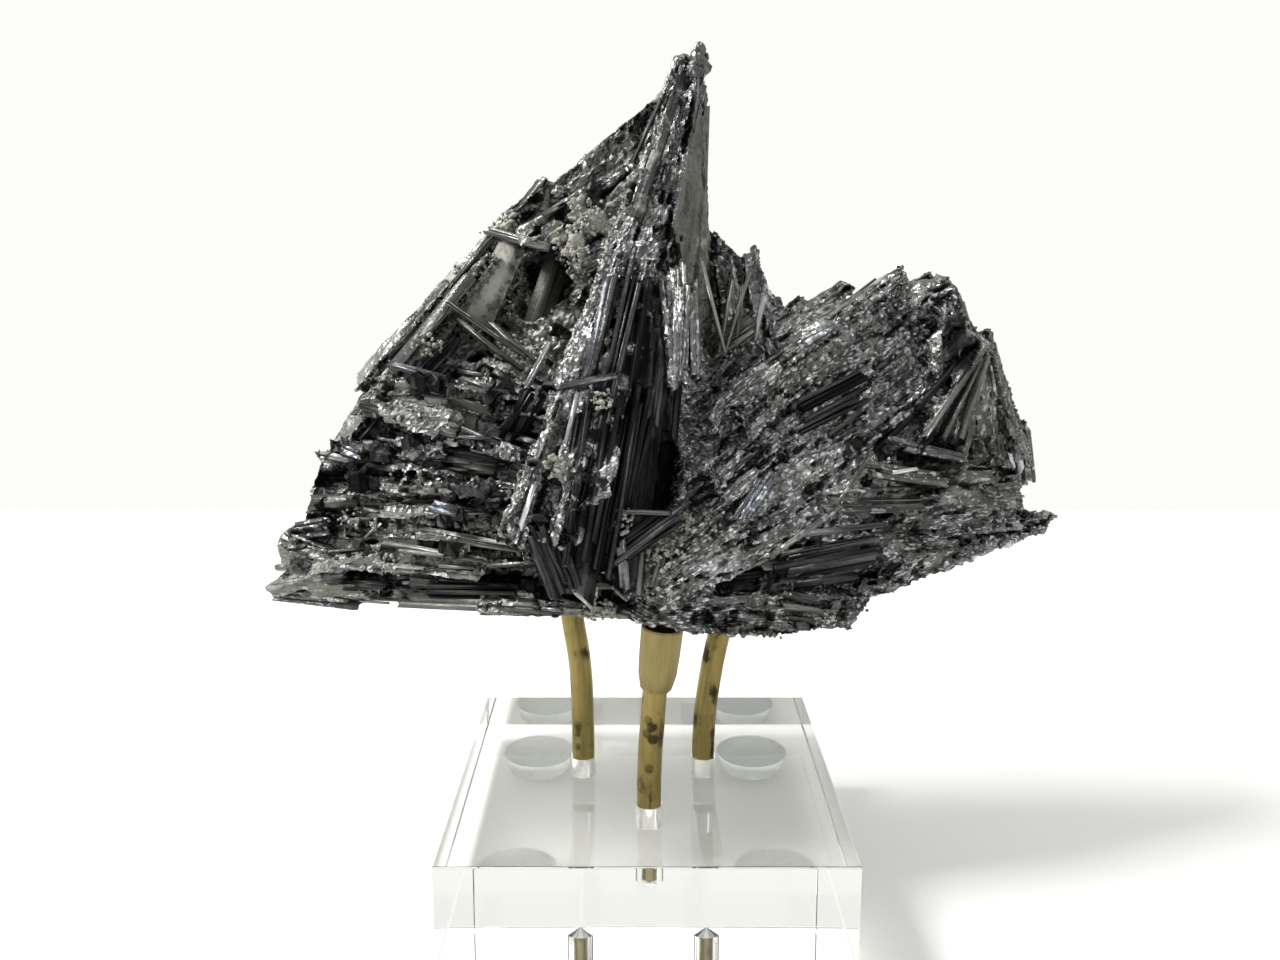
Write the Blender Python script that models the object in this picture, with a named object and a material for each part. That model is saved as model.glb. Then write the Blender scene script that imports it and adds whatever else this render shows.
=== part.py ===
"""A stibnite crystal cluster standing on three bent brass rods in a clear acrylic block.

Lengths are typed in millimetres in the block's own frame: x to the right, y to the back, z up,
with z = 0 on the table under the middle of the block. The cluster is one grown piece: faceted
lumps of matrix with sheaves of long flat-faced crystals joined into it.
"""
import math
import random
from collections import namedtuple

import bmesh
import bpy
from mathutils import Matrix, Vector

MM = 0.001
SEED = 7

# The clear block and its four feet
BLOCK_SIDE = 76.2
BLOCK_HEIGHT = 21.0
BLOCK_EDGE = 0.4
FOOT_RADIUS = 8.0
FOOT_TOE = 6.9
FOOT_HEIGHT = 4.0
FOOT_GAP = 0.02
FOOT_INSET = 13.6
BLOCK_TOP = FOOT_HEIGHT + BLOCK_HEIGHT

# The brass rods and the holes that they stand in
GAP = 0.3
ROD_RADIUS = 2.38
HOLE_RADIUS = ROD_RADIUS + GAP
HOLE_DEPTH = 11.0
HOLE_TIP = 1.4
DRILL_POINT = 0.16
ROD_FOOT = BLOCK_TOP - HOLE_DEPTH + 0.4
CUT_CLEAR = 2.0
ROUND_SIDES = 20
SHARP_ANGLE = 40

# Where each rod leaves the block, where it bends, and where it ends under the cluster
ROD_PATHS = {
    "rod_rear_left": [
        (-13.4, 6.6, ROD_FOOT), (-13.4, 6.6, 34), (-13.9, 6.8, 46), (-15.4, 7.4, 56), (-16.4, 8, 64),
    ],
    "rod_rear_right": [
        (12.4, 6.6, ROD_FOOT), (12.5, 6.7, 32), (13.9, 7.4, 44), (16.2, 8.4, 55), (18.2, 9.4, 64),
    ],
    "rod_front": [
        (0.6, -14.7, ROD_FOOT), (0.7, -14.7, 34), (1.2, -14.8, 42), (1.8, -15, 50), (2.2, -15.2, 53),
    ],
}

# The flared sleeve on the front rod: height along its axis, outer radius
SLEEVE_FOOT = (1.8, -15.0, 49.2)
SLEEVE_LEAN = (0.10, -0.02, 1.0)
SLEEVE_PROFILE = [(0.0, 3.1), (3.2, 3.75), (7.0, 3.95), (12.6, 4.1)]
SLEEVE_WALL = 0.42
SLEEVE_SIDES = 12

# The room that the cluster leaves round the rods and the sleeve that it sits on
SEAT_GAP = 0.5
SEAT_SIDES = 8

# Lumps of matrix, each the hull of its corners
LUMPS = {
    "left": [
        (-70, -2, 66), (-67, 13, 68), (-30, -12, 64), (-9, -15, 63.5), (-8, 24, 63), (-44, 22, 67),
        (-67, 1, 87), (-57, 3, 103.5), (-39.5, 3, 122), (-18, 5, 138), (-5, 8, 140), (-18, 20, 126),
        (-52, 15, 98), (-8, -15, 100), (-38, -11, 92), (-63, -4, 78), (-14, -15, 88),
    ],
    "wing": [
        (-31, 5, 132), (-19, 5, 143), (-10, 6, 148.5), (-1, 5, 157), (-18, 12, 136), (5, 3, 160),
        (9, 6, 162), (-2, -6, 134), (-20, -3, 128), (-14, -5, 120), (4, 10, 140), (-30, 8, 124),
    ],
    "spire": [
        (-19, -22, 77), (4, -20, 70), (14, -8, 68), (16, 19, 66), (-12, 22, 66), (-4, -8, 134),
        (5, -5, 129), (12, 9, 128), (-7, 11, 132), (7.5, 3.4, 163), (11, 6, 162),
    ],
    "right": [
        (3, -16, 66), (10, -14, 63), (40, -7, 62), (66, 0, 70), (78, 6, 77), (75, 14, 78), (40, 20, 65),
        (10, 22, 64), (18, -4, 109), (34, 5, 118), (55, 11, 124), (56, 15, 122), (66, 11, 106),
        (75, 10, 95), (77.5, 9, 87), (32, 18, 111), (14, 14, 112),
    ],
    "keel": [
        (4, -17, 64), (24, -14, 58.3), (40, -10, 59.4), (46, 8, 63), (22, 13, 60.2), (6, 10, 61.2),
        (-12, 8, 62), (-12, 14, 63), (22, 4, 72), (2, -19, 70), (-2, -20.4, 63.6), (9, -20.2, 61.4),
    ],
    "shoulder": [
        (10, 11, 136), (21, 16, 129), (29, 14, 120), (10, 24, 123), (27, 23, 111), (8, 4, 104), (28, 6, 104),
        (-4, 19, 127),
    ],
}

# Hollows in the face of the cluster: middle, half sizes, and how far each leans about y in degrees
HOLLOWS = {
    "window": ((-19.5, -6, 126.5), (6.5, 9, 5.0), 40),
    "pocket": ((2.6, -16, 91), (4.8, 10, 8.0), 12),
    "mouth": ((34.6, -14, 72.2), (9.0, 8, 2.4), -8),
    "cleft": ((10.5, -16, 116), (4.5, 9, 12), -18),
    "den": ((-55, -8, 90.5), (7, 7, 3.2), -8),
    "nook": ((-63, -6, 79.5), (5, 6, 3.0), 5),
    "fold": ((56, -4, 91), (7, 8, 6.0), -20),
    "back_pocket": ((-20, 25, 92), (6, 7, 9.0), 20),
    "back_cleft": ((22, 24, 96), (5, 7, 12), -15),
}

# Sheaves of crystals. Each is a patch from the line where its crystals are rooted to the line
# that they reach, and every blade takes a share of that run, sunk up to `deep` into the mass.
Sheaf = namedtuple("Sheaf", "roots tips blades width thick taper facing share deep sides", defaults=[6])
FRONT, BACK = (0, -1, 0.15), (0, 1, 0.15)
LEFT, RIGHT = (-1, -0.2, 0.5), (1, -0.2, 0.3)
UNDER = (0, -0.2, -1)
SHEAVES = {
    # the tall spire: its front ridge, its shaded right flank, and its back
    "spire_face": Sheaf(
        ((-27, -26, 79), (-10, -28, 74)), ((5, 2, 167), (10, 4, 168)),
        7, 6.4, 4.4, 0.42, FRONT, (0.7, 1), 2,
    ),
    "spire_foot": Sheaf(
        ((-28, -27, 78), (-12, -28, 73)), ((-12, -16, 118), (-1, -15, 118)),
        4, 4.6, 4.0, 0.8, FRONT, (0.5, 0.9), 1,
    ),
    "spire_tip": Sheaf(
        ((-6, -8, 128), (4, -7, 132)), ((9, 5, 169.5), (11, 5, 168)),
        3, 5.4, 5.0, 0.5, FRONT, (0.8, 1), 1,
    ),
    "spire_side": Sheaf(
        ((3, -8, 118), (13, 9, 126)), ((11, 5, 167), (12.4, 7, 163)),
        4, 8.0, 4.0, 0.35, RIGHT, (0.85, 1), 1,
    ),
    "spire_back": Sheaf(
        ((-14, 23, 72), (14, 24, 72)), ((7, 8, 165), (11, 8, 163)),
        5, 8.5, 6.0, 0.36, BACK, (0.7, 1), 1, 4,
    ),
    "dark_blades": Sheaf(
        ((-13, -24, 69), (-2.5, -20, 68)), ((-3, -13, 131), (3.5, -10, 124)),
        5, 5.4, 4.2, 0.85, FRONT, (0.8, 1), 1.5,
    ),
    # the slab that makes the long left slope, in overlapping steps
    "wing_low": Sheaf(
        ((-69, -3, 84), (-66, 17, 82)), ((-36, -1, 127), (-33, 17, 121)),
        4, 7.5, 5.0, 0.85, LEFT, (0.7, 1), 1.5, 4,
    ),
    "wing_mid": Sheaf(
        ((-58.5, -2, 105), (-53, 18, 100)), ((-20, 2, 146), (-17, 19, 136)),
        4, 7.5, 5.0, 0.8, LEFT, (0.7, 1), 1.5, 4,
    ),
    "wing_high": Sheaf(
        ((-38, 0, 127), (-34, 17, 122)), ((-5, 2, 155.5), (-3, 15, 149)),
        4, 7.0, 5.0, 0.75, LEFT, (0.7, 1), 1.5, 4,
    ),
    "wing_crest": Sheaf(
        ((-21, 1, 141), (-15, 14, 139)), ((7, 4, 165), (8, 8, 162)),
        4, 6.0, 5.0, 0.5, LEFT, (0.8, 1), 1, 4,
    ),
    "wing_face": Sheaf(
        ((-60, -5, 94), (-40, -6, 116)), ((-40, -5, 118), (-24, -4, 136)),
        3, 5.6, 4.4, 0.8, FRONT, (0.6, 1), 1,
    ),
    "wing_brow": Sheaf(
        ((-27, -4, 134), (-12, -6, 128)), ((-4, -1, 150), (3, -4, 141)),
        4, 5.0, 4.4, 0.7, FRONT, (0.6, 1), 1,
    ),
    "window_bars": Sheaf(
        ((-38, -8, 125), (-31, -8, 133)), ((-20, -13, 112), (-12, -10, 133)),
        3, 3.8, 3.2, 0.8, FRONT, (0.8, 1), 0.5,
    ),
    # the beds of short broken crystals on the left
    "beds_upper": Sheaf(
        ((-52, -7, 114), (-59, -6, 100)), ((-20, -15, 108), (-20, -18, 94)),
        7, 4.0, 3.2, 0.85, FRONT, (0.4, 0.8), 2.5, 4,
    ),
    "beds_middle": Sheaf(
        ((-66, -4, 95), (-70, -4, 80)), ((-20, -19, 96), (-20, -20, 80)),
        9, 4.2, 3.2, 0.9, FRONT, (0.3, 0.7), 2.5, 4,
    ),
    "beds_lower": Sheaf(
        ((-71, -4, 82), (-74, -5, 70)), ((-20, -20, 81), (-16, -20, 69)),
        8, 4.0, 3.2, 0.9, FRONT, (0.3, 0.75), 2.5, 4,
    ),
    "foot_blades": Sheaf(
        ((-75, -7, 66.5), (-73, 8, 66)), ((-16, -17, 65), (-20, 10, 65)),
        4, 6.4, 5.0, 0.95, UNDER, (0.6, 1), 1, 4,
    ),
    "foot_spar": Sheaf(
        ((-75, -7, 65), (-74, -3, 67)), ((-50, -12, 76), (-46, -8, 75)),
        2, 4.4, 5.0, 0.9, FRONT, (0.8, 1), 0.5,
    ),
    "toe_blades": Sheaf(
        ((-32, -18, 66), (-28, -8, 63.5)), ((-2, -20, 65), (-2, -9, 63)),
        3, 4.4, 4.0, 0.9, UNDER, (0.5, 1), 1,
    ),
    # the broad mass on the right, fanning up from the foot of the spire
    "right_low": Sheaf(
        ((1, -22, 69), (2, -20, 78)), ((48, -7, 84), (46, -4, 101)),
        6, 6.0, 4.4, 0.9, FRONT, (0.5, 0.95), 1.5,
    ),
    "right_mid": Sheaf(
        ((8, -18, 75), (13, -13, 98)), ((58, 2, 104), (42, 5, 118)),
        7, 6.4, 4.6, 0.85, FRONT, (0.5, 0.95), 1.5,
    ),
    "right_high": Sheaf(
        ((11, -13, 98), (13, -5, 108)), ((60, 9, 129), (33, 10, 124)),
        6, 6.4, 5.0, 0.65, FRONT, (0.6, 1), 1.5,
    ),
    "crest_blades": Sheaf(
        ((24, 3, 112), (28, 16, 106)), ((59, 9, 129.5), (54, 17, 121)),
        4, 6.6, 5.0, 0.6, (-0.4, -0.2, 1), (0.6, 1), 1, 4,
    ),
    "fan": Sheaf(
        ((66, 4, 113), (69, 9, 112)), ((49, -6, 92), (78, 6, 90)),
        6, 4.6, 4.2, 0.95, RIGHT, (0.7, 1), 1,
    ),
    "fan_side": Sheaf(
        ((64, 8, 121), (70.5, 10, 112.5)), ((78, 8, 90), (80.8, 12, 85)),
        3, 6.4, 5.4, 0.85, RIGHT, (0.6, 1), 2, 4,
    ),
    "ledge": Sheaf(
        ((32, -11, 91), (34, -12, 84)), ((79, 4, 87), (82, 6, 80)),
        6, 4.8, 4.0, 0.9, FRONT, (0.4, 0.8), 2, 4,
    ),
    "brow": Sheaf(
        ((33, -12, 80), (30, -14, 76)), ((80, 3, 80), (74, 2, 73)),
        5, 5.4, 4.8, 0.85, FRONT, (0.5, 0.9), 1,
    ),
    "mouth_blades": Sheaf(
        ((18, -15, 73), (20, -14, 69)), ((44, -8, 76), (46, -7, 71)),
        3, 3.4, 3.2, 0.85, FRONT, (0.7, 1), 0.5,
    ),
    "keel_front": Sheaf(
        ((2, -20, 69), (1, -18, 64)), ((46, -8, 65), (40, -8, 59.6)),
        5, 5.2, 4.6, 0.75, FRONT, (0.6, 1), 1,
    ),
    "keel_under": Sheaf(
        ((4, -17, 61.5), (4, 8, 61.5)), ((45, -8, 61), (44, 9, 63)),
        4, 7.0, 4.4, 0.75, UNDER, (0.6, 1), 1, 4,
    ),
    "crust": Sheaf(
        ((44, -7, 68), (50, -6, 77)), ((80.5, 4, 75), (83.5, 6, 78)),
        5, 6.0, 5.6, 0.8, FRONT, (0.5, 0.9), 1.5, 4,
    ),
    "stub": Sheaf(
        ((2.4, -12, 128), (7, -9, 129)), ((3.6, -17, 107), (9.4, -15, 107)),
        3, 3.0, 4.4, 1.0, FRONT, (0.9, 1), 0.5,
    ),
    # the crumbly shoulder behind the saddle, with needles in front of it
    "shoulder_needles": Sheaf(
        ((15, -6, 111), (25, -2, 113)), ((12, 4, 132), (22, 12, 131)),
        4, 3.4, 3.0, 0.85, FRONT, (0.6, 1), 1,
    ),
    "shoulder_top": Sheaf(
        ((9, 10, 139), (12, 21, 128)), ((29, 13, 121), (27, 23, 112)),
        4, 6.2, 5.4, 0.85, (0.5, 0, 1), (0.4, 0.9), 1.5, 4,
    ),
    # the back, which the long beds wrap round
    "back_left": Sheaf(
        ((-70, 12, 70), (-62, 15, 86)), ((-12, 27, 72), (-14, 26, 106)),
        8, 7.4, 4.6, 0.9, BACK, (0.5, 0.95), 0.8, 4,
    ),
    "back_wing": Sheaf(
        ((-54, 17, 98), (-40, 19, 112)), ((-8, 23, 112), (-8, 17, 138)),
        5, 7.4, 4.6, 0.85, BACK, (0.5, 0.95), 1, 4,
    ),
    "back_right": Sheaf(
        ((4, 26, 67), (10, 23, 104)), ((76, 16, 80), (58, 17, 119)),
        9, 7.4, 4.6, 0.85, BACK, (0.5, 0.95), 0.6, 4,
    ),
    "back_fan": Sheaf(
        ((10, 25, 78), (22, 26, 84)), ((-6, 23, 122), (34, 20, 114)),
        4, 6.2, 5.0, 0.7, BACK, (0.6, 1), 1, 4,
    ),
    "back_keel": Sheaf(
        ((-40, 22, 66), (-36, 8, 64)), ((46, 22, 67), (40, 8, 64)),
        4, 7.0, 5.4, 0.9, UNDER, (0.4, 0.8), 1, 4,
    ),
}
# How far a short blade's ends stray from its sheaf's run, and how much less of that is in depth
STRAY, STRAY_DEEP = 2.6, 0.4
# The most that a blade is rolled, in radians, and the slope of its broken ends
ROLL, SLANT = 0.5, 0.9
# A blade's size against its sheaf's, its place against an even spacing, and the share that is bedded
SIZES, JITTER, BEDDED = (0.8, 1.25), 0.35, 0.15

BRASS = ("aged_brass", (0.45, 0.33, 0.14), 0.42, 1.0)
SLEEVE_BRASS = ("sleeve_brass", (0.56, 0.44, 0.26), 0.38, 1.0)
STIBNITE = ("stibnite", (0.075, 0.078, 0.085), 0.34, 0.85)
ACRYLIC = ("clear_acrylic", (0.96, 0.97, 0.97), 0.03, 0.0)
CLEAR_RUBBER = ("clear_rubber", (0.88, 0.89, 0.87), 0.25, 0.0)


def metres(point):
    return Vector(point) * MM


def clear_scene():
    for found in list(bpy.data.objects):
        bpy.data.objects.remove(found)


def material(name, colour, roughness, metallic):
    made = bpy.data.materials.new(name)
    made.use_nodes = True
    shader = made.node_tree.nodes["Principled BSDF"]
    shader.inputs["Base Color"].default_value = (*colour, 1)
    shader.inputs["Roughness"].default_value = roughness
    shader.inputs["Metallic"].default_value = metallic
    return made


def object_from(name, bm, finish=None, helper=False):
    """Links the bmesh as an object. A helper only shapes others and isn't a piece itself."""
    mesh = bpy.data.meshes.new(name)
    bm.to_mesh(mesh)
    bm.free()
    made = bpy.data.objects.new(name, mesh)
    bpy.context.scene.collection.objects.link(made)
    if finish:
        mesh.materials.append(finish)
    if helper:
        made.hide_render = True
        made.display_type = "WIRE"
    return made


def shade_round(mesh):
    mesh.shade_smooth()
    mesh.set_sharp_from_angle(angle=math.radians(SHARP_ANGLE))


def across(line, share):
    """The point this share of the way along a line given by its two ends."""
    return Vector(line[0]).lerp(Vector(line[1]), share)


def hull(corners):
    bm = bmesh.new()
    for corner in corners:
        bm.verts.new(metres(corner))
    found = bmesh.ops.convex_hull(bm, input=bm.verts)
    loose = {g for key in ("geom_interior", "geom_unused") for g in found[key]}
    bmesh.ops.delete(bm, geom=[g for g in loose if isinstance(g, bmesh.types.BMVert)], context="VERTS")
    bmesh.ops.recalc_face_normals(bm, faces=bm.faces)
    return bm


def hollow(middle, half, lean):
    """A lumpy pit with flat walls, cut into the matrix."""
    bm = bmesh.new()
    bmesh.ops.create_icosphere(bm, subdivisions=1, radius=1)
    shape = Matrix.Rotation(math.radians(lean), 4, "Y") @ Matrix.Diagonal((*(Vector(half) * MM), 1))
    bmesh.ops.transform(bm, matrix=Matrix.Translation(metres(middle)) @ shape, verts=bm.verts)
    return bm


def blade(start, end, width, thickness, taper, facing, sides, rng):
    """A flat crystal from start to end, with a broad face turned outwards and slanted ends."""
    run = metres(end) - metres(start)
    along = run.normalized()
    side = along.cross(Vector(facing)).normalized()
    out = side.cross(along)
    bm = bmesh.new()
    bmesh.ops.create_cone(bm, cap_ends=True, segments=sides, radius1=1, radius2=taper, depth=run.length)
    if sides == 4:
        bmesh.ops.rotate(bm, cent=(0, 0, 0), matrix=Matrix.Rotation(math.pi / 4, 3, "Z"), verts=bm.verts)
    bmesh.ops.scale(bm, vec=(width * MM / 2, thickness * MM / 2, 1), verts=bm.verts)
    slants = (rng.uniform(-SLANT, SLANT), rng.uniform(-SLANT, SLANT))
    for vert in bm.verts:
        slant = slants[0] if vert.co.z < 0 else slants[1]
        vert.co.z += slant * vert.co.x
    roll = Matrix.Rotation(rng.uniform(-ROLL, ROLL), 4, "Z")
    place = Matrix((side, out, along)).transposed().to_4x4()
    place.translation = metres(start) + run / 2
    bmesh.ops.transform(bm, matrix=place @ roll, verts=bm.verts)
    bmesh.ops.recalc_face_normals(bm, faces=bm.faces)
    return bm


def wander(rng):
    return Vector((rng.uniform(-1, 1), rng.uniform(-STRAY_DEEP, STRAY_DEEP), rng.uniform(-1, 1))) * STRAY


def sheaf(name, plan):
    """The blades of one sheaf as helper objects, spread over its patch."""
    rng = random.Random(f"{name} {SEED}")
    inwards = -Vector(plan.facing).normalized()
    made = []
    for place in range(plan.blades):
        across_share = (place + 0.5 + rng.uniform(-JITTER, JITTER)) / plan.blades
        root, tip = across(plan.roots, across_share), across(plan.tips, across_share)
        length = rng.uniform(*plan.share)
        first = rng.uniform(0, 1 - length)
        sunk = inwards * (plan.thick * BEDDED + rng.uniform(0, plan.deep))
        start = root.lerp(tip, first) + sunk + wander(rng) * (1 - length)
        end = root.lerp(tip, first + length) + sunk + wander(rng) * (1 - length)
        size = rng.uniform(*SIZES)
        bm = blade(
            start, end, plan.width * size, plan.thick * size, plan.taper, plan.facing, plan.sides, rng
        )
        made.append(object_from(f"{name}_{place}", bm, helper=True))
    return made


def boolean(target, operation, other):
    cut = target.modifiers.new(operation.lower(), "BOOLEAN")
    cut.operation = operation
    cut.solver = "EXACT"
    if isinstance(other, bpy.types.Collection):
        cut.operand_type = "COLLECTION"
        cut.collection = other
    else:
        cut.object = other
    return cut


def gathered(name, objects):
    """The objects moved into a collection of their own, which a Boolean can take whole."""
    group = bpy.data.collections.new(name)
    bpy.context.scene.collection.children.link(group)
    for each in objects:
        bpy.context.scene.collection.objects.unlink(each)
        group.objects.link(each)
    return group


def settled(target):
    """The target with its modifiers made real."""
    bpy.context.view_layer.update()
    graph = bpy.context.evaluated_depsgraph_get()
    mesh = bpy.data.meshes.new_from_object(target.evaluated_get(graph))
    target.modifiers.clear()
    target.data = mesh
    return target


def island_from(first):
    """All the faces joined to this one over edges that only two faces share."""
    found, front = {first}, [first]
    while front:
        for edge in front.pop().edges:
            for face in edge.link_faces if edge.is_manifold else ():
                if face not in found:
                    found.add(face)
                    front.append(face)
    return found


def keep_main_body(target):
    """Drops crumbs that touch nothing and voids that the blades have sealed."""
    bm = bmesh.new()
    bm.from_mesh(target.data)
    left, islands = set(bm.faces), []
    while left:
        island = island_from(next(iter(left)))
        islands.append(island)
        left -= island
    main = max(islands, key=len)
    bmesh.ops.delete(bm, geom=[face for face in bm.faces if face not in main], context="FACES")
    bm.to_mesh(target.data)
    bm.free()


def make_cluster(seats):
    """Matrix lumps joined, hollows cut in them, then every blade joined on and the rod seats cut."""
    lumps = [object_from(f"lump_{name}", hull(corners), helper=True) for name, corners in LUMPS.items()]
    cluster = lumps.pop(0)
    cluster.name = "stibnite_cluster"
    cluster.hide_render = False
    cluster.display_type = "TEXTURED"
    boolean(cluster, "UNION", gathered("matrix_lumps", lumps))
    for name, sizes in HOLLOWS.items():
        boolean(cluster, "DIFFERENCE", object_from(f"hollow_{name}", hollow(*sizes), helper=True))
    blades = [each for name, plan in SHEAVES.items() for each in sheaf(name, plan)]
    boolean(cluster, "UNION", gathered("blades", blades))
    for seat in seats:
        boolean(cluster, "DIFFERENCE", seat)
    settled(cluster)
    keep_main_body(cluster)
    cluster.data.materials.clear()
    cluster.data.materials.append(material(*STIBNITE))
    return cluster


def make_rod(name, points, finish):
    """A brass rod as a bevelled curve that runs smoothly through its points."""
    curve = bpy.data.curves.new(name, "CURVE")
    curve.dimensions = "3D"
    curve.bevel_depth = ROD_RADIUS * MM
    curve.bevel_resolution = 3
    curve.use_fill_caps = True
    curve.resolution_u = 3
    spline = curve.splines.new("BEZIER")
    spline.bezier_points.add(len(points) - 1)
    for knot, point in zip(spline.bezier_points, points):
        knot.co = metres(point)
        knot.handle_left_type = knot.handle_right_type = "AUTO"
    rod = bpy.data.objects.new(name, curve)
    curve.materials.append(finish)
    bpy.context.scene.collection.objects.link(rod)
    return rod


def rod_seat(name, points):
    """The space round a rod's end, with the gap that keeps the cluster clear of it."""
    low, high = metres(points[-2]), metres(points[-1])
    along = (high - low).normalized()
    bm = bmesh.new()
    reach = (high - low).length + GAP * MM
    bmesh.ops.create_cone(
        bm, cap_ends=True, segments=SEAT_SIDES, radius1=(ROD_RADIUS + SEAT_GAP) * MM,
        radius2=(ROD_RADIUS + SEAT_GAP) * MM, depth=reach,
    )
    place = Vector((0, 0, 1)).rotation_difference(along).to_matrix().to_4x4()
    place.translation = low + along * reach / 2
    bmesh.ops.transform(bm, matrix=place, verts=bm.verts)
    return object_from(name, bm, helper=True)


def sleeve_rings(bm, profile):
    """Rings of a turned shape from (height, radius) pairs, bridged into one open skin."""
    rings = []
    for height, radius in profile:
        made = bmesh.ops.create_circle(bm, segments=SLEEVE_SIDES, radius=radius * MM)
        bmesh.ops.translate(bm, vec=(0, 0, height * MM), verts=made["verts"])
        rings.append(list({edge for vert in made["verts"] for edge in vert.link_edges}))
    for low, high in zip(rings, rings[1:]):
        bmesh.ops.bridge_loops(bm, edges=low + high)
    return rings


def sleeve_place():
    turn = Vector((0, 0, 1)).rotation_difference(Vector(SLEEVE_LEAN).normalized())
    place = turn.to_matrix().to_4x4()
    place.translation = metres(SLEEVE_FOOT)
    return place


def make_sleeve(finish):
    """A tube pushed over the front rod and flared into a cup that the cluster sits in."""
    bore = ROD_RADIUS + GAP
    inner = [(height, max(bore, radius - SLEEVE_WALL)) for height, radius in reversed(SLEEVE_PROFILE)]
    bm = bmesh.new()
    rings = sleeve_rings(bm, SLEEVE_PROFILE + inner)
    bmesh.ops.bridge_loops(bm, edges=rings[0] + rings[-1])
    bmesh.ops.transform(bm, matrix=sleeve_place(), verts=bm.verts)
    bmesh.ops.recalc_face_normals(bm, faces=bm.faces)
    sleeve = object_from("rod_sleeve", bm, finish)
    shade_round(sleeve.data)
    return sleeve


def sleeve_seat():
    """The space round the sleeve's rim that the cluster keeps clear of."""
    (_, low), (top, high) = SLEEVE_PROFILE[-2:]
    bm = bmesh.new()
    depth = (top + GAP) * MM
    bmesh.ops.create_cone(
        bm, cap_ends=True, segments=SLEEVE_SIDES, radius1=(low + SEAT_GAP) * MM,
        radius2=(high + SEAT_GAP) * MM, depth=depth,
    )
    bmesh.ops.translate(bm, vec=(0, 0, depth / 2), verts=bm.verts)
    bmesh.ops.transform(bm, matrix=sleeve_place(), verts=bm.verts)
    return object_from("seat_front", bm, helper=True)


def hole_cutter(name, x, y):
    """A drilled hole with a conical bottom, open above the block's top."""
    bm = bmesh.new()
    depth = HOLE_DEPTH + CUT_CLEAR
    bmesh.ops.create_cone(
        bm, cap_ends=True, segments=ROUND_SIDES, radius1=HOLE_RADIUS * MM, radius2=HOLE_RADIUS * MM,
        depth=depth * MM,
    )
    bottom = min(bm.faces, key=lambda face: face.calc_center_median().z)
    slope = (HOLE_RADIUS - DRILL_POINT) * MM
    bmesh.ops.inset_region(bm, faces=[bottom], thickness=slope, use_even_offset=True)
    bmesh.ops.translate(bm, vec=(0, 0, -HOLE_TIP * MM), verts=bottom.verts)
    bmesh.ops.translate(bm, vec=metres((x, y, BLOCK_TOP + CUT_CLEAR - depth / 2)), verts=bm.verts)
    return object_from(name, bm, helper=True)


def make_block():
    """The clear block: a square slab with eased edges and a drilled hole for each rod."""
    bm = bmesh.new()
    bmesh.ops.create_cube(bm, size=1)
    bmesh.ops.scale(bm, vec=metres((BLOCK_SIDE, BLOCK_SIDE, BLOCK_HEIGHT)), verts=bm.verts)
    bmesh.ops.translate(bm, vec=metres((0, 0, FOOT_HEIGHT + BLOCK_HEIGHT / 2)), verts=bm.verts)
    bmesh.ops.bevel(
        bm, geom=bm.edges, offset=BLOCK_EDGE * MM, segments=1, profile=0.5, affect="EDGES", material=-1
    )
    block = object_from("acrylic_block", bm, material(*ACRYLIC))
    for name, points in ROD_PATHS.items():
        boolean(block, "DIFFERENCE", hole_cutter(f"hole_{name}", *points[0][:2]))
    return settled(block)


def make_foot(name, x, y, finish):
    """A clear stick-on bumper: a low round pad, narrower on the table than on the block."""
    bm = bmesh.new()
    depth = (FOOT_HEIGHT - FOOT_GAP) * MM
    bmesh.ops.create_cone(
        bm, cap_ends=True, segments=ROUND_SIDES, radius1=FOOT_TOE * MM, radius2=FOOT_RADIUS * MM, depth=depth
    )
    bmesh.ops.translate(bm, vec=metres((x, y, 0)) + Vector((0, 0, depth / 2)), verts=bm.verts)
    foot = object_from(name, bm, finish)
    shade_round(foot.data)
    return foot


def points_of(piece, graph):
    """The piece's finished points, in world space."""
    evaluated = piece.evaluated_get(graph)
    found = [piece.matrix_world @ vert.co for vert in evaluated.to_mesh().vertices]
    evaluated.to_mesh_clear()
    return found


def stand_on_origin(pieces):
    """Carries every piece on one empty, moved so that the middle of the whole box is at x = y = 0."""
    bpy.context.view_layer.update()
    graph = bpy.context.evaluated_depsgraph_get()
    corners = [point for piece in pieces for point in points_of(piece, graph)]
    carrier = bpy.data.objects.new("specimen_on_stand", None)
    bpy.context.scene.collection.objects.link(carrier)
    for each in pieces:
        each.parent = carrier
    for axis in (0, 1):
        values = [corner[axis] for corner in corners]
        carrier.location[axis] = -(min(values) + max(values)) / 2


def main():
    clear_scene()
    brass = material(*BRASS)
    rubber = material(*CLEAR_RUBBER)
    pieces = [make_block()]
    reach = BLOCK_SIDE / 2 - FOOT_INSET
    for depth, y in (("front", -reach), ("rear", reach)):
        for hand, x in (("left", -reach), ("right", reach)):
            pieces.append(make_foot(f"foot_{depth}_{hand}", x, y, rubber))
    pieces += [make_rod(name, points, brass) for name, points in ROD_PATHS.items()]
    pieces.append(make_sleeve(material(*SLEEVE_BRASS)))
    seats = [rod_seat(f"seat_{name}", ROD_PATHS[name]) for name in ("rod_rear_left", "rod_rear_right")]
    pieces.append(make_cluster(seats + [sleeve_seat()]))
    stand_on_origin(pieces)


main()
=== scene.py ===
"""The looks of a stibnite crystal cluster on three brass rods in a clear acrylic block."""
import math
from collections import defaultdict, namedtuple

import bmesh
import bpy
import numpy as np
from mathutils import Matrix, Vector


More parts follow.
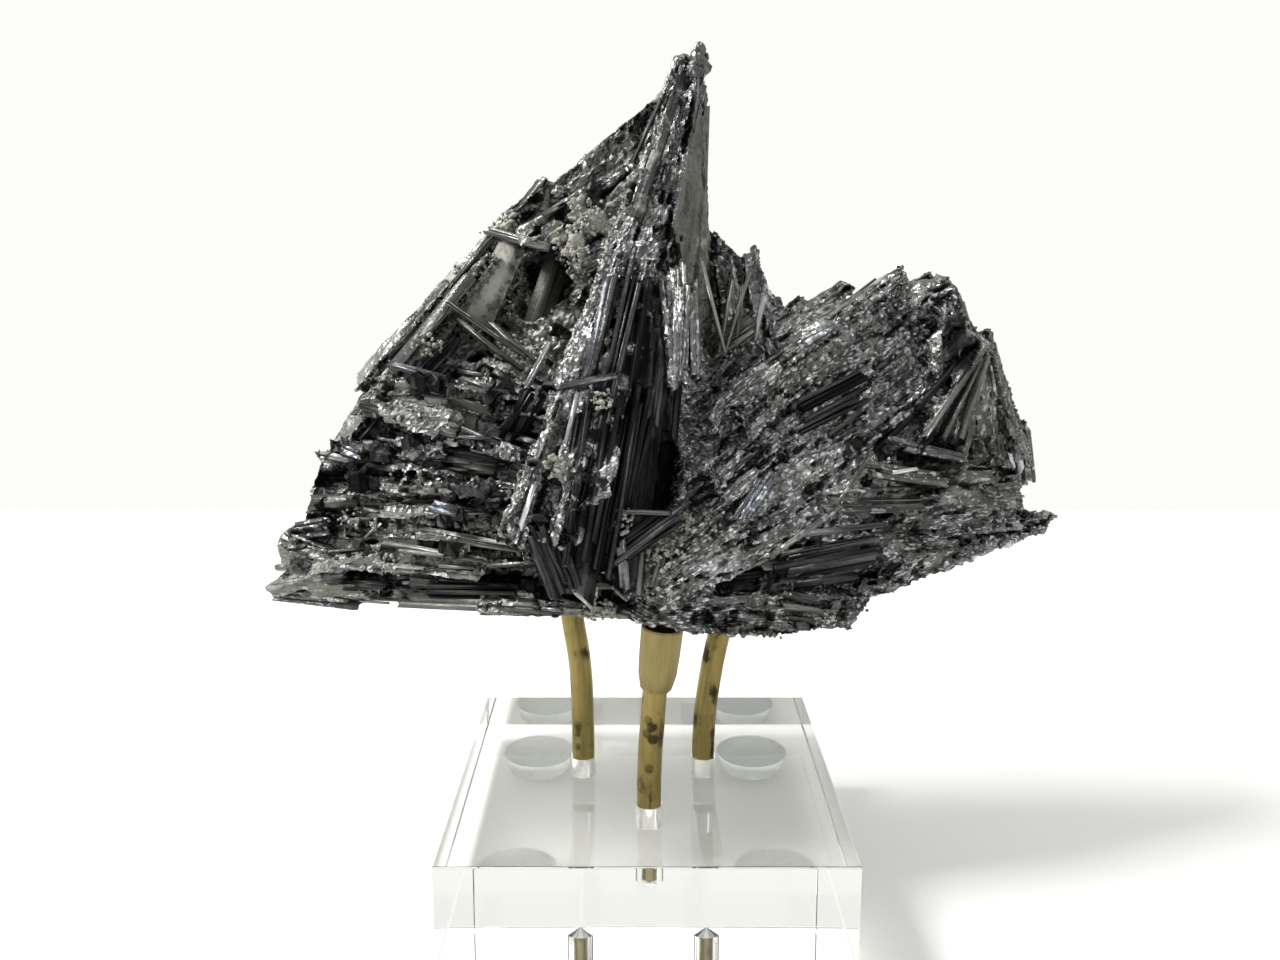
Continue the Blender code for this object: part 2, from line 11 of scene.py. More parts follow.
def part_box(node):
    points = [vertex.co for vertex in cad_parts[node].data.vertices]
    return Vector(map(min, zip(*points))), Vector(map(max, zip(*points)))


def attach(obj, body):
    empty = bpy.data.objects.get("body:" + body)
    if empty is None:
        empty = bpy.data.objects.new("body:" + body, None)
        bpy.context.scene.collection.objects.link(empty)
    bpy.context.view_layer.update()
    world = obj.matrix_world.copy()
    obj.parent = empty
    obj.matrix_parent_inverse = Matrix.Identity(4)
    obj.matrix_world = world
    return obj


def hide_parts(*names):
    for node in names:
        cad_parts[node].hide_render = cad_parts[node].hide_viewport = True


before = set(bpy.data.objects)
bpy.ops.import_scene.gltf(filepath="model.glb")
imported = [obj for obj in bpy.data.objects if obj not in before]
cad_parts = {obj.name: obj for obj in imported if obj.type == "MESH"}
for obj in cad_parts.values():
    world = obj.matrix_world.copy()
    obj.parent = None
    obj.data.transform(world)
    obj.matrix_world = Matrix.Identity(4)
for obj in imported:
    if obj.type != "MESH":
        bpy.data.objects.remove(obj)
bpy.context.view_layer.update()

# The studio: a plain pale table in a soft white light that comes from above and behind, with one key
# lamp to the upper left. The camera is where the photograph's was, looking down at the cluster.
MM = 0.001
block_low, block_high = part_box("acrylic_block")
BLOCK_X = (block_low.x + block_high.x) / 2
PHOTO_WIDTH = 1280
FOCAL_PIXELS = 1138.8
SENSOR = 36
CAMERA_AT = (-1.2, -220.3, 133.8)
CAMERA_DOWN = 12.05
TABLE_HALF = 0.335
TABLE_DROP = 0.0002
TABLE_COLOUR = (0.80, 0.80, 0.79)
SKY_COLOUR = (0.975, 0.985, 0.955)
SKY_DIM = 0.62
SKY_TOP_DIM = 0.28


def placed(x, y, z):
    """A point in metres, from millimetres measured from the table under the block's middle."""
    return Vector((BLOCK_X + x * MM, y * MM, z * MM))


class Socket:
    """A shader value that Python's operators work on."""

    def __init__(self, tree, socket):
        self.tree = tree
        self.socket = socket

    def math(self, operation, *others):
        node = self.tree.nodes.new("ShaderNodeMath")
        node.operation = operation
        for place, value in enumerate((self, *others)):
            if isinstance(value, Socket):
                self.tree.links.new(value.socket, node.inputs[place])
            else:
                node.inputs[place].default_value = value
        return Socket(self.tree, node.outputs[0])

    def __add__(self, other):
        return self.math("ADD", other)

    def __radd__(self, other):
        return self.math("ADD", other)

    def __sub__(self, other):
        return self.math("SUBTRACT", other)

    def __rsub__(self, other):
        return (self * -1).math("ADD", other)

    def __mul__(self, other):
        return self.math("MULTIPLY", other)

    def __rmul__(self, other):
        return self.math("MULTIPLY", other)

    def above(self, low, high, kind="SMOOTHSTEP"):
        """0 below the low value, 1 above the high one, and a smooth step or a line between."""
        node = self.tree.nodes.new("ShaderNodeMapRange")
        node.interpolation_type = kind
        self.tree.links.new(self.socket, node.inputs["Value"])
        node.inputs["From Min"].default_value = low
        node.inputs["From Max"].default_value = high
        return Socket(self.tree, node.outputs[0])


class Nodes:
    """A shader tree. One method makes any node."""

    def __init__(self, tree):
        self.tree = tree

    def node(self, kind, settings=None, values=None, output=0):
        made = self.tree.nodes.new(kind)
        for name, value in (settings or {}).items():
            setattr(made, name, value)
        for name, value in (values or {}).items():
            self.feed(made.inputs[name], value)
        return Socket(self.tree, made.outputs[output])

    def feed(self, socket, value):
        if isinstance(value, Socket):
            self.tree.links.new(value.socket, socket)
        else:
            socket.default_value = value


class Finish(Nodes):
    """A material on a Principled shader."""

    def __init__(self, name):
        self.material = bpy.data.materials.new(name)
        self.material.use_nodes = True
        super().__init__(self.material.node_tree)
        self.shader = self.tree.nodes["Principled BSDF"]

    def set(self, **values):
        for name, value in values.items():
            self.feed(self.shader.inputs[name.replace("_", " ")], value)

    def place(self):
        return self.node("ShaderNodeTexCoord", output=3)

    def noise(self, vector, scale, detail=3, roughness=0.55):
        values = {"Vector": vector, "Scale": scale, "Detail": detail, "Roughness": roughness}
        return self.node("ShaderNodeTexNoise", values=values)

    def cells(self, vector, scale, output="Distance"):
        return self.node("ShaderNodeTexVoronoi", values={"Vector": vector, "Scale": scale}, output=output)

    def stretched(self, vector, scale, turn=(0, 0, 0)):
        return self.node("ShaderNodeMapping", values={"Vector": vector, "Scale": scale, "Rotation": turn})

    def near(self, points, reach):
        """1 within reach of any of the points, falling smoothly to 0 at twice that."""
        total = 0
        for point in points:
            values = {0: self.place(), 1: point}
            away = self.node("ShaderNodeVectorMath", {"operation": "DISTANCE"}, values, "Value")
            total = (1 - away.above(reach, reach * 2)) + total
        return total

    def mix(self, factor, first, second):
        first, second = (c if isinstance(c, Socket) else (*c, 1) for c in (first, second))
        return self.node("ShaderNodeMix", {"data_type": "RGBA"}, {0: factor, 6: first, 7: second}, 2)

    def bump(self, height, distance, strength=1):
        return self.node(
            "ShaderNodeBump", values={"Height": height, "Distance": distance, "Strength": strength}
        )


def linked(name, mesh, finish):
    """The mesh as an object at the origin, in this finish."""
    mesh.materials.clear()
    mesh.materials.append(finish.material)
    made = bpy.data.objects.new(name, mesh)
    bpy.context.scene.collection.objects.link(made)
    return made


def mesh_from(name, bm, smooth_angle=None):
    mesh = bpy.data.meshes.new(name)
    bm.to_mesh(mesh)
    bm.free()
    if smooth_angle is not None:
        mesh.shade_smooth()
        mesh.set_sharp_from_angle(angle=math.radians(smooth_angle))
    return mesh


table_finish = Finish("pale_table")
mottle = table_finish.noise(table_finish.place(), 6, 4)
table_finish.set(Base_Color=table_finish.mix(mottle, TABLE_COLOUR, tuple(c * 1.02 for c in TABLE_COLOUR)))
table_finish.set(Roughness=0.55)
table_bm = bmesh.new()
bmesh.ops.create_grid(table_bm, x_segments=1, y_segments=1, size=TABLE_HALF)
bmesh.ops.translate(table_bm, vec=(0, 0, -TABLE_DROP), verts=table_bm.verts)
linked("table", mesh_from("table", table_bm), table_finish)

world = bpy.data.worlds.new("soft_light")
world.use_nodes = True
bpy.context.scene.world = world
sky = Nodes(world.node_tree)
direction = sky.node("ShaderNodeTexCoord", output=0)
toward = sky.node("ShaderNodeSeparateXYZ", values={0: direction}, output=1)
upward = sky.node("ShaderNodeSeparateXYZ", values={0: direction}, output=2)
open_side = (toward + upward * 1.4).above(-0.7, 0.25)
overhead = upward.above(0.3, 0.95) * SKY_TOP_DIM
background = world.node_tree.nodes["Background"]
background.inputs["Color"].default_value = (*SKY_COLOUR, 1)
sky.feed(background.inputs["Strength"], (SKY_DIM + open_side * (1 - SKY_DIM)) * (1 - overhead))
bpy.context.scene.view_settings.view_transform = "Standard"


def lamp(name, at, aim, size, power, colour=(1, 1, 1)):
    """A square soft light at one point, facing another."""
    light = bpy.data.lights.new(name, "AREA")
    light.size = size
    light.energy = power
    light.color = colour
    made = bpy.data.objects.new(name, light)
    made.location = at
    made.rotation_euler = (Vector(aim) - Vector(at)).to_track_quat("-Z", "Y").to_euler()
    bpy.context.scene.collection.objects.link(made)


cluster_middle = placed(4, 0, 105)
lamp("key", placed(-508, -120, 714), cluster_middle, 0.24, 11, (1.0, 0.985, 0.96))
lamp("fill", placed(560, -420, 420), cluster_middle, 0.11, 0.3, (0.94, 0.97, 1.0))
lamp("rim", placed(560, 240, 640), cluster_middle, 0.12, 0.3)

camera = bpy.data.cameras.new("photo_view")
camera.sensor_width = SENSOR
camera.lens = SENSOR * FOCAL_PIXELS / PHOTO_WIDTH
camera_object = bpy.data.objects.new("photo_view", camera)
camera_object.location = placed(*CAMERA_AT)
camera_object.rotation_euler = (math.radians(90 - CAMERA_DOWN), 0, 0)
bpy.context.scene.collection.objects.link(camera_object)
bpy.context.scene.camera = camera_object

# The block: polished clear acrylic, sawn square, with eased edges and a flat-bottomed drilled hole
# for each rod. The air round a rod in its hole hides it, as the photograph shows.
ACRYLIC_INDEX = 1.49
ACRYLIC_TINT = (0.972, 0.977, 0.955)
EDGE = 0.3
HOLES = {"rod_front": (0.6, -14.7), "rod_rear_left": (-13.4, 6.6), "rod_rear_right": (12.4, 6.6)}
HOLE_RADIUS = 2.68
HOLE_DEPTH = 11.0
HOLE_TIP = 1.4
DRILL_POINT = 0.16
BLOCK_SHARP = 10
CUT_CLEAR = 2.0
FINE_SIDES = 64


def drill(x, y):
    """The shape that a drill takes out of the block."""
    bm = bmesh.new()
    depth = HOLE_DEPTH + CUT_CLEAR
    bmesh.ops.create_cone(
        bm, cap_ends=True, segments=FINE_SIDES, radius1=HOLE_RADIUS * MM, radius2=HOLE_RADIUS * MM,
        depth=depth * MM,
    )
    bottom = min(bm.faces, key=lambda face: face.calc_center_median().z)
    bmesh.ops.inset_region(bm, faces=[bottom], thickness=(HOLE_RADIUS - DRILL_POINT) * MM)
    bmesh.ops.translate(bm, vec=(0, 0, -HOLE_TIP * MM), verts=bottom.verts)
    top = block_high.z / MM + CUT_CLEAR
    bmesh.ops.translate(bm, vec=placed(x, y, top - depth / 2), verts=bm.verts)
    cutter = bpy.data.objects.new("drill", mesh_from("drill", bm))
    bpy.context.scene.collection.objects.link(cutter)
    return cutter


acrylic = Finish("clear_acrylic")
scuffs = acrylic.noise(acrylic.stretched(acrylic.place(), (90, 900, 90), (0, 0, 0.6)), 1, 4)
acrylic.set(Base_Color=(*ACRYLIC_TINT, 1), Transmission_Weight=1.0, IOR=ACRYLIC_INDEX)
acrylic.set(Roughness=scuffs.above(0.58, 0.8) * 0.06)

block_bm = bmesh.new()
bmesh.ops.create_cube(block_bm, size=1)
bmesh.ops.scale(block_bm, vec=block_high - block_low, verts=block_bm.verts)
bmesh.ops.translate(block_bm, vec=(block_low + block_high) / 2, verts=block_bm.verts)
bmesh.ops.bevel(
    block_bm, geom=block_bm.edges, offset=EDGE * MM, segments=3, profile=0.5, affect="EDGES", material=-1
)
block = linked("block_polished", mesh_from("block_polished", block_bm), acrylic)
cutters = [drill(*at) for at in HOLES.values()]
for cutter in cutters:
    cut = block.modifiers.new("hole", "BOOLEAN")
    cut.operation = "DIFFERENCE"
    cut.object = cutter
bpy.context.view_layer.update()
drilled = bpy.data.meshes.new_from_object(block.evaluated_get(bpy.context.evaluated_depsgraph_get()))
block.modifiers.clear()
block.data = drilled
drilled.shade_smooth()
drilled.set_sharp_from_angle(angle=math.radians(BLOCK_SHARP))
for cutter in cutters:
    bpy.data.objects.remove(cutter)
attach(block, "root")
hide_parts("acrylic_block")

# The feet: clear stick-on rubber bumpers with a rounded side, stuck under the block's corners and
# a little cloudy where the glue has trapped air.
FOOT_ROUND = 1.3
FOOT_TAPER = 1.1
FOOT_RIM = 0.1
RUBBER_INDEX = 1.42

rubber = Finish("clear_rubber")
bubbles = rubber.noise(rubber.place(), 900, 2)
rubber.set(Base_Color=rubber.mix(bubbles.above(0.45, 0.7), (0.88, 0.90, 0.88), (0.76, 0.79, 0.77)))
rubber.set(Transmission_Weight=0.85, IOR=RUBBER_INDEX, Roughness=0.3 + 0.2 * bubbles.above(0.4, 0.7))

for node in ("foot_front_left", "foot_front_right", "foot_rear_left", "foot_rear_right"):
    low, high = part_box(node)
    foot_bm = bmesh.new()
    bmesh.ops.create_cone(
        foot_bm, cap_ends=True, segments=FINE_SIDES, radius1=(high.x - low.x) / 2 - FOOT_TAPER * MM,
        radius2=(high.x - low.x) / 2, depth=high.z - low.z,
    )
    bmesh.ops.translate(foot_bm, vec=(low + high) / 2, verts=foot_bm.verts)
    under = [e for e in foot_bm.edges if all(v.co.z < low.z + FOOT_RIM * MM for v in e.verts)]
    bmesh.ops.bevel(
        foot_bm, geom=under, offset=FOOT_ROUND * MM, segments=6, profile=0.5, affect="EDGES", material=-1
    )
    foot = linked(f"{node}_pad", mesh_from(f"{node}_pad", foot_bm, 40), rubber)
    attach(foot, "root")
    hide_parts(node)

# The rods: 3/16 in brass, bent by hand to meet the cluster, dulled to an olive brown with darker
# tarnish that runs along them and a few dark spots on the front one.
ROD_RADIUS = 2.38
ROD_FOOT = 14.4
ROD_PATHS = {
    "rod_rear_left": [
        (-13.4, 6.6, ROD_FOOT), (-13.4, 6.6, 34), (-13.9, 6.8, 46), (-15.4, 7.4, 56), (-16.4, 8, 64),
    ],
    "rod_rear_right": [
        (12.4, 6.6, ROD_FOOT), (12.5, 6.7, 32), (13.9, 7.4, 44), (16.2, 8.4, 55), (18.2, 9.4, 64),
    ],
    "rod_front": [
        (0.6, -14.7, ROD_FOOT), (0.7, -14.7, 34), (1.2, -14.8, 42), (1.8, -15, 50), (2.2, -15.2, 53),
    ],
}
SPOTS = [
    (0.2, -17.1, 43.4), (1.0, -17.0, 42.0), (0.0, -17.0, 40.6), (1.3, -16.9, 39.4), (0.5, -17.1, 33.4),
]
SPOT_REACH = 0.65

aged = Finish("aged_brass")
streak = aged.noise(aged.stretched(aged.place(), (700, 700, 60)), 1, 4)
blotch = aged.noise(aged.place(), 210, 4)
spots = aged.near([placed(*spot) for spot in SPOTS], SPOT_REACH * MM)
tarnish = ((blotch * 0.6 + streak * 0.4).above(0.47, 0.68) + spots * blotch * 1.3).above(0.0, 1.0)
metal = aged.mix(streak, (0.11, 0.083, 0.022), (0.40, 0.315, 0.115))
aged.set(Base_Color=aged.mix(tarnish, metal, (0.055, 0.042, 0.02)), Metallic=0.88)
aged.set(Roughness=0.36 + 0.28 * tarnish)
aged.set(Normal=aged.bump(streak, 0.00008, 0.4))

for node, points in ROD_PATHS.items():
    curve = bpy.data.curves.new(node, "CURVE")
    curve.dimensions = "3D"
    curve.bevel_depth = ROD_RADIUS * MM
    curve.bevel_resolution = 10
    curve.use_fill_caps = True
    curve.resolution_u = 10
    spline = curve.splines.new("BEZIER")
    spline.bezier_points.add(len(points) - 1)
    for knot, point in zip(spline.bezier_points, points):
        knot.co = placed(*point)
        knot.handle_left_type = knot.handle_right_type = "AUTO"
    bar = bpy.data.objects.new(f"{node}_bar", curve)
    curve.materials.append(aged.material)
    bpy.context.scene.collection.objects.link(bar)
    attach(bar, "root")
    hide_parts(node)

# The sleeve: a short length of brass tube, filed to loose facets and flared into a cup for the
# cluster. It is pushed over the front rod and is paler than it.
SLEEVE_FOOT = (1.8, -15.0, 49.2)
SLEEVE_LEAN = (0.10, -0.02, 1.0)
SLEEVE_PROFILE = [(0.0, 2.95), (0.3, 3.1), (3.2, 3.75), (7.0, 3.95), (12.2, 4.08), (12.6, 3.95)]
SLEEVE_BORE = 2.68
SLEEVE_WALL = 0.42
SLEEVE_SIDES = 14

satin = Finish("sleeve_brass")
rubbed = satin.noise(satin.stretched(satin.place(), (420, 420, 120)), 1, 4)
satin.set(Base_Color=satin.mix(rubbed, (0.16, 0.125, 0.045), (0.36, 0.29, 0.125)), Metallic=0.85)
satin.set(Roughness=0.36 + 0.2 * rubbed, Normal=satin.bump(rubbed, 0.0002, 0.5))

sleeve_bm = bmesh.new()
inner = [(h, max(SLEEVE_BORE, r - SLEEVE_WALL)) for h, r in reversed(SLEEVE_PROFILE)]
rings = []
for height, radius in SLEEVE_PROFILE + inner:
    ring = bmesh.ops.create_circle(sleeve_bm, segments=SLEEVE_SIDES, radius=radius * MM)["verts"]
    bmesh.ops.translate(sleeve_bm, vec=(0, 0, height * MM), verts=ring)
    rings.append(list({edge for vert in ring for edge in vert.link_edges}))
for lower, upper in zip(rings, rings[1:] + rings[:1]):
    bmesh.ops.bridge_loops(sleeve_bm, edges=lower + upper)
lean = Vector((0, 0, 1)).rotation_difference(Vector(SLEEVE_LEAN).normalized()).to_matrix().to_4x4()
lean.translation = placed(*SLEEVE_FOOT)
bmesh.ops.transform(sleeve_bm, matrix=lean, verts=sleeve_bm.verts)
bmesh.ops.recalc_face_normals(sleeve_bm, faces=sleeve_bm.faces)
sleeve = linked("sleeve_cup", mesh_from("sleeve_cup", sleeve_bm, 18), satin)
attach(sleeve, "root")
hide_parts("rod_sleeve")

# The cluster's plan, in millimetres. It is one mass of stibnite in sheaves: each is a patch between
# the line where its crystals are rooted and the line that they reach, with the way it faces, its
# habit of growth and the piece that its crystals belong to. Dark hollows lie between them.
Sheaf = namedtuple("Sheaf", "roots tips facing habit piece")
FRONT, BACK = (0, -1, 0.15), (0, 1, 0.15)
LEFT, RIGHT = (-1, -0.2, 0.5), (1, -0.2, 0.3)
UNDER = (0, -0.2, -1)
SHEAVES = {
    "spire_face": Sheaf(
        ((-27, -26, 79), (-10, -28, 74)), ((5, 2, 167), (10, 4, 168)), FRONT, "fibrous", "spire"),
    "spire_tip": Sheaf(
        ((-6, -8, 128), (4, -7, 132)), ((9, 5, 169.5), (11, 5, 168)), FRONT, "fibrous", "spire"),
    "spire_side": Sheaf(
        ((3, -8, 118), (13, 9, 126)), ((11, 5, 167), (12.4, 7, 163)), RIGHT, "matte", "spire"),
    "spire_back": Sheaf(
        ((-14, 23, 72), (14, 24, 72)), ((7, 8, 165), (11, 8, 163)), BACK, "bladed", "back"),
    "dark_blades": Sheaf(
        ((-13, -24, 69), (-2.5, -20, 68)), ((-3, -13, 131), (3.5, -10, 124)), FRONT, "dark", "spire"),
    "wing_low": Sheaf(
        ((-69, -3, 84), (-66, 17, 82)), ((-36, -1, 127), (-33, 17, 121)), LEFT, "smooth", "wing"),
    "wing_mid": Sheaf(
        ((-58.5, -2, 105), (-53, 18, 100)), ((-20, 2, 146), (-17, 19, 136)), LEFT, "smooth", "wing"),
    "wing_high": Sheaf(
        ((-38, 0, 127), (-34, 17, 122)), ((-5, 2, 155.5), (-3, 15, 149)), LEFT, "smooth", "wing"),
    "wing_crest": Sheaf(
        ((-21, 1, 141), (-15, 14, 139)), ((7, 4, 165), (8, 8, 162)), LEFT, "smooth", "wing"),
    "wing_face": Sheaf(
        ((-60, -5, 94), (-40, -6, 116)), ((-40, -5, 118), (-24, -4, 136)), FRONT, "bladed", "wing"),
    "wing_brow": Sheaf(
        ((-27, -4, 134), (-12, -6, 128)), ((-4, -1, 150), (3, -4, 141)), FRONT, "lumpy", "wing"),
    "window_bars": Sheaf(
        ((-38, -8, 125), (-31, -8, 133)), ((-20, -13, 112), (-12, -10, 133)), FRONT, "lumpy", "wing"),
    "beds_upper": Sheaf(
        ((-52, -7, 114), (-59, -6, 100)), ((-20, -15, 108), (-20, -18, 94)), FRONT, "bedded", "beds"),
    "beds_middle": Sheaf(
        ((-66, -4, 95), (-70, -4, 80)), ((-20, -19, 96), (-20, -20, 80)), FRONT, "bedded", "beds"),
    "beds_lower": Sheaf(
        ((-71, -4, 82), (-74, -5, 70)), ((-20, -20, 81), (-16, -20, 69)), FRONT, "bedded", "beds"),
    "beds_heart": Sheaf(
        ((-45, -12, 97), (-46, -13, 86)), ((-23, -18, 96), (-23, -20, 85)), FRONT, "crumbly", "beds"),
    "toe": Sheaf(
        ((-77, -6, 64), (-77, -6, 69)), ((-57, -12, 65), (-58, -12, 74)), (-0.2, -1, 0.2), "matte", "beds"),
    "foot_blades": Sheaf(
        ((-75, -7, 66.5), (-73, 8, 66)), ((-16, -17, 65), (-20, 10, 65)), UNDER, "bladed", "beds"),
    "toe_blades": Sheaf(
        ((-32, -18, 66), (-28, -8, 63.5)), ((-2, -20, 65), (-2, -9, 63)), UNDER, "bladed", "beds"),
    "right_low": Sheaf(
        ((1, -22, 69), (2, -20, 78)), ((48, -7, 84), (46, -4, 101)), FRONT, "sparkling", "right"),
    "right_mid": Sheaf(
        ((8, -18, 75), (13, -13, 98)), ((58, 2, 104), (42, 5, 118)), FRONT, "sparkling", "right"),
    "right_high": Sheaf(
        ((11, -13, 98), (13, -5, 108)), ((60, 9, 129), (33, 10, 124)), FRONT, "sparkling", "right"),
    "crest_blades": Sheaf(
        ((24, 3, 112), (28, 16, 106)), ((59, 9, 129.5), (54, 17, 121)), (-0.4, -0.2, 1), "smooth", "right"),
    "fan_left": Sheaf(
        ((65, 3, 113), (67, 5, 113)), ((47, -7, 93), (60, -4, 93)), (0.2, -1, 0.1), "dark", "fan"),
    "fan_right": Sheaf(
        ((67, 4, 114), (70, 9, 112)), ((61, -3, 94), (79, 6, 90)), (0.5, -1, 0.15), "planar", "fan"),
    "fan_side": Sheaf(
        ((64, 8, 121), (70.5, 10, 112.5)), ((78, 8, 90), (80.8, 12, 85)), RIGHT, "planar", "fan"),
    "ledge": Sheaf(
        ((32, -11, 91), (34, -12, 84)), ((56, -5, 90), (57, -5, 83)), FRONT, "bladed", "fan"),
    "ledge_plane": Sheaf(
        ((56, -5, 92), (57, -6, 84)), ((79, 4, 90), (82, 6, 83)), (0.2, -1, 0.3), "planar", "fan"),
    "brow": Sheaf(
        ((33, -12, 80), (30, -14, 76)), ((80, 3, 80), (74, 2, 73)), FRONT, "crumbly", "fan"),
    "mouth_blades": Sheaf(
        ((18, -15, 73), (20, -14, 69)), ((44, -8, 76), (46, -7, 71)), FRONT, "dark", "keel"),
    "keel_front": Sheaf(
        ((2, -20, 69), (1, -18, 64)), ((46, -8, 65), (40, -8, 59.6)), FRONT, "crumbly", "keel"),
    "keel_under": Sheaf(
        ((4, -17, 61.5), (4, 8, 61.5)), ((45, -8, 61), (44, 9, 63)), UNDER, "crumbly", "keel"),
    "crust": Sheaf(
        ((44, -7, 68), (50, -6, 77)), ((80.5, 4, 75), (83.5, 6, 78)), FRONT, "crumbly", "fan"),
    "stub": Sheaf(
        ((2.4, -12, 128), (7, -9, 129)), ((3.6, -17, 107), (9.4, -15, 107)), FRONT, "fibrous", "spire"),
    "shoulder_needles": Sheaf(
        ((15, -6, 111), (25, -2, 113)), ((12, 4, 132), (22, 12, 131)), FRONT, "fibrous", "shoulder"),
    "shoulder_top": Sheaf(
        ((9, 10, 139), (12, 21, 128)), ((29, 13, 121), (27, 23, 112)), (0.5, 0, 1), "crumbly", "shoulder"),
    "back_left": Sheaf(
        ((-70, 12, 70), (-62, 15, 86)), ((-12, 27, 72), (-14, 26, 106)), BACK, "bedded", "back"),
    "back_wing": Sheaf(
        ((-54, 17, 98), (-40, 19, 112)), ((-8, 23, 112), (-8, 17, 138)), BACK, "smooth", "back"),
    "back_right": Sheaf(
        ((4, 26, 67), (10, 23, 104)), ((76, 16, 80), (58, 17, 119)), BACK, "sparkling", "back"),
    "back_fan": Sheaf(
        ((10, 25, 78), (22, 26, 84)), ((-6, 23, 122), (34, 20, 114)), BACK, "bladed", "back"),
    "back_keel": Sheaf(
        ((-40, 22, 66), (-36, 8, 64)), ((46, 22, 67), (40, 8, 64)), UNDER, "sparkling", "back"),
}
# Each hollow's middle, its half sizes and its lean about y in degrees.
HOLLOWS = {
    "window": ((-19.5, -6, 126.5), (6.5, 9, 5), 40),
    "pocket": ((2.6, -16, 91), (4.8, 10, 8), 12),
    "mouth": ((34.6, -14, 72.2), (9, 8, 2.4), -8),
    "cleft": ((10.5, -16, 116), (4.5, 9, 12), -18),
    "den": ((-55, -8, 90.5), (7, 7, 3.2), -8),
    "nook": ((-63, -6, 79.5), (5, 6, 3), 5),
    "fold": ((56, -4, 91), (7, 8, 6), -20),
    "pit": ((-9.3, -4, 141.8), (1.7, 6, 3.2), 25),
    "slit": ((-17.5, -4, 138.0), (1.0, 6, 3.4), 50),
    "back_pocket": ((-20, 25, 92), (6, 7, 9), 20),
    "back_cleft": ((22, 24, 96), (5, 7, 12), -15),
}
# Each fill's middle, its half sizes and its lean about y in degrees. Fills are lumps of matrix that
# close the notches between the CAD cluster's large forms.
FILLS = {
    "crest_side": ((60.2, 6.5, 118.5), (3.4, 5.0, 9.5), -22),
    "crest_top": ((54.6, 6.0, 122.0), (4.2, 4.6, 4.4), 0),
    "crest_foot": ((58.6, 4.0, 111.6), (3.8, 3.6, 5.4), 0),
    "fan_top": ((64.4, 6.6, 112.6), (3.6, 4.6, 3.4), 0),
    "left_tip": ((-68.6, -3.0, 73.5), (4.4, 6.0, 5.2), 0),
    "spire_seam": ((8.0, 2.5, 155.0), (1.6, 2.6, 8.5), 10),
    "peak": ((6.8, 4.0, 164.8), (2.5, 2.2, 2.8), 0),
}
# Each patch of pale druse: its middle, its reach and the number of its grains.
DRUSE = [
    ((-27.2, 0, 134.7), 3.6, 90), ((-14.0, -5.2, 132.0), 2.8, 110), ((-12.6, -5, 127.0), 2.0, 70),
    ((-11.0, -6, 138.0), 3.0, 90), ((-23.0, -6.3, 110.8), 3.0, 90), ((-26.4, -6, 114.0), 2.4, 70),
    ((-7.6, -19.5, 105.6), 1.5, 50), ((-16.7, -23.3, 94.5), 1.6, 60), ((-18.2, -22.3, 79.3), 2.4, 100),
    ((-4.8, -20.1, 83.7), 2.0, 90), ((3.4, -19.2, 77.8), 3.0, 110), ((6.6, -15, 82.0), 2.2, 60),
    ((-41.0, -8, 113.6), 2.6, 60), ((-49.0, -9, 72.6), 2.2, 60), ((-8.0, -19, 65.6), 3.0, 80),
    ((0.5, -19.4, 70.4), 2.2, 50), ((-36.0, -8, 100.0), 2.4, 50), ((-57.0, -7, 82.0), 2.2, 40),
    ((-47.0, -11.5, 74.8), 1.8, 8), ((-33.0, -14.4, 68.0), 3.4, 6), ((-45.0, -8.5, 101.5), 1.8, 8),
    ((44.5, 4.4, 114.8), 2.4, 6), ((49.5, 1.0, 108.0), 1.8, 6), ((39.5, -6.0, 101.5), 2.0, 4),
    ((-48.0, -8.6, 90.5), 1.6, 6), ((-38.0, -8.6, 104.0), 1.6, 6), ((-17.5, -22.0, 82.0), 1.8, 20),
]
FIELD_ACROSS, FIELD_ALONG = 7, 15
FIELD_BATCH = 1000
NARROWEST = 4.0
TURN_COST = 12.0
SHIFT = np.array([BLOCK_X / MM, 0, 0])
rng = np.random.default_rng(11)


def unit(vectors):
    return vectors / np.maximum(np.linalg.norm(vectors, axis=-1, keepdims=True), 1e-9)


def dots(first, second):
    return (first * second).sum(-1)


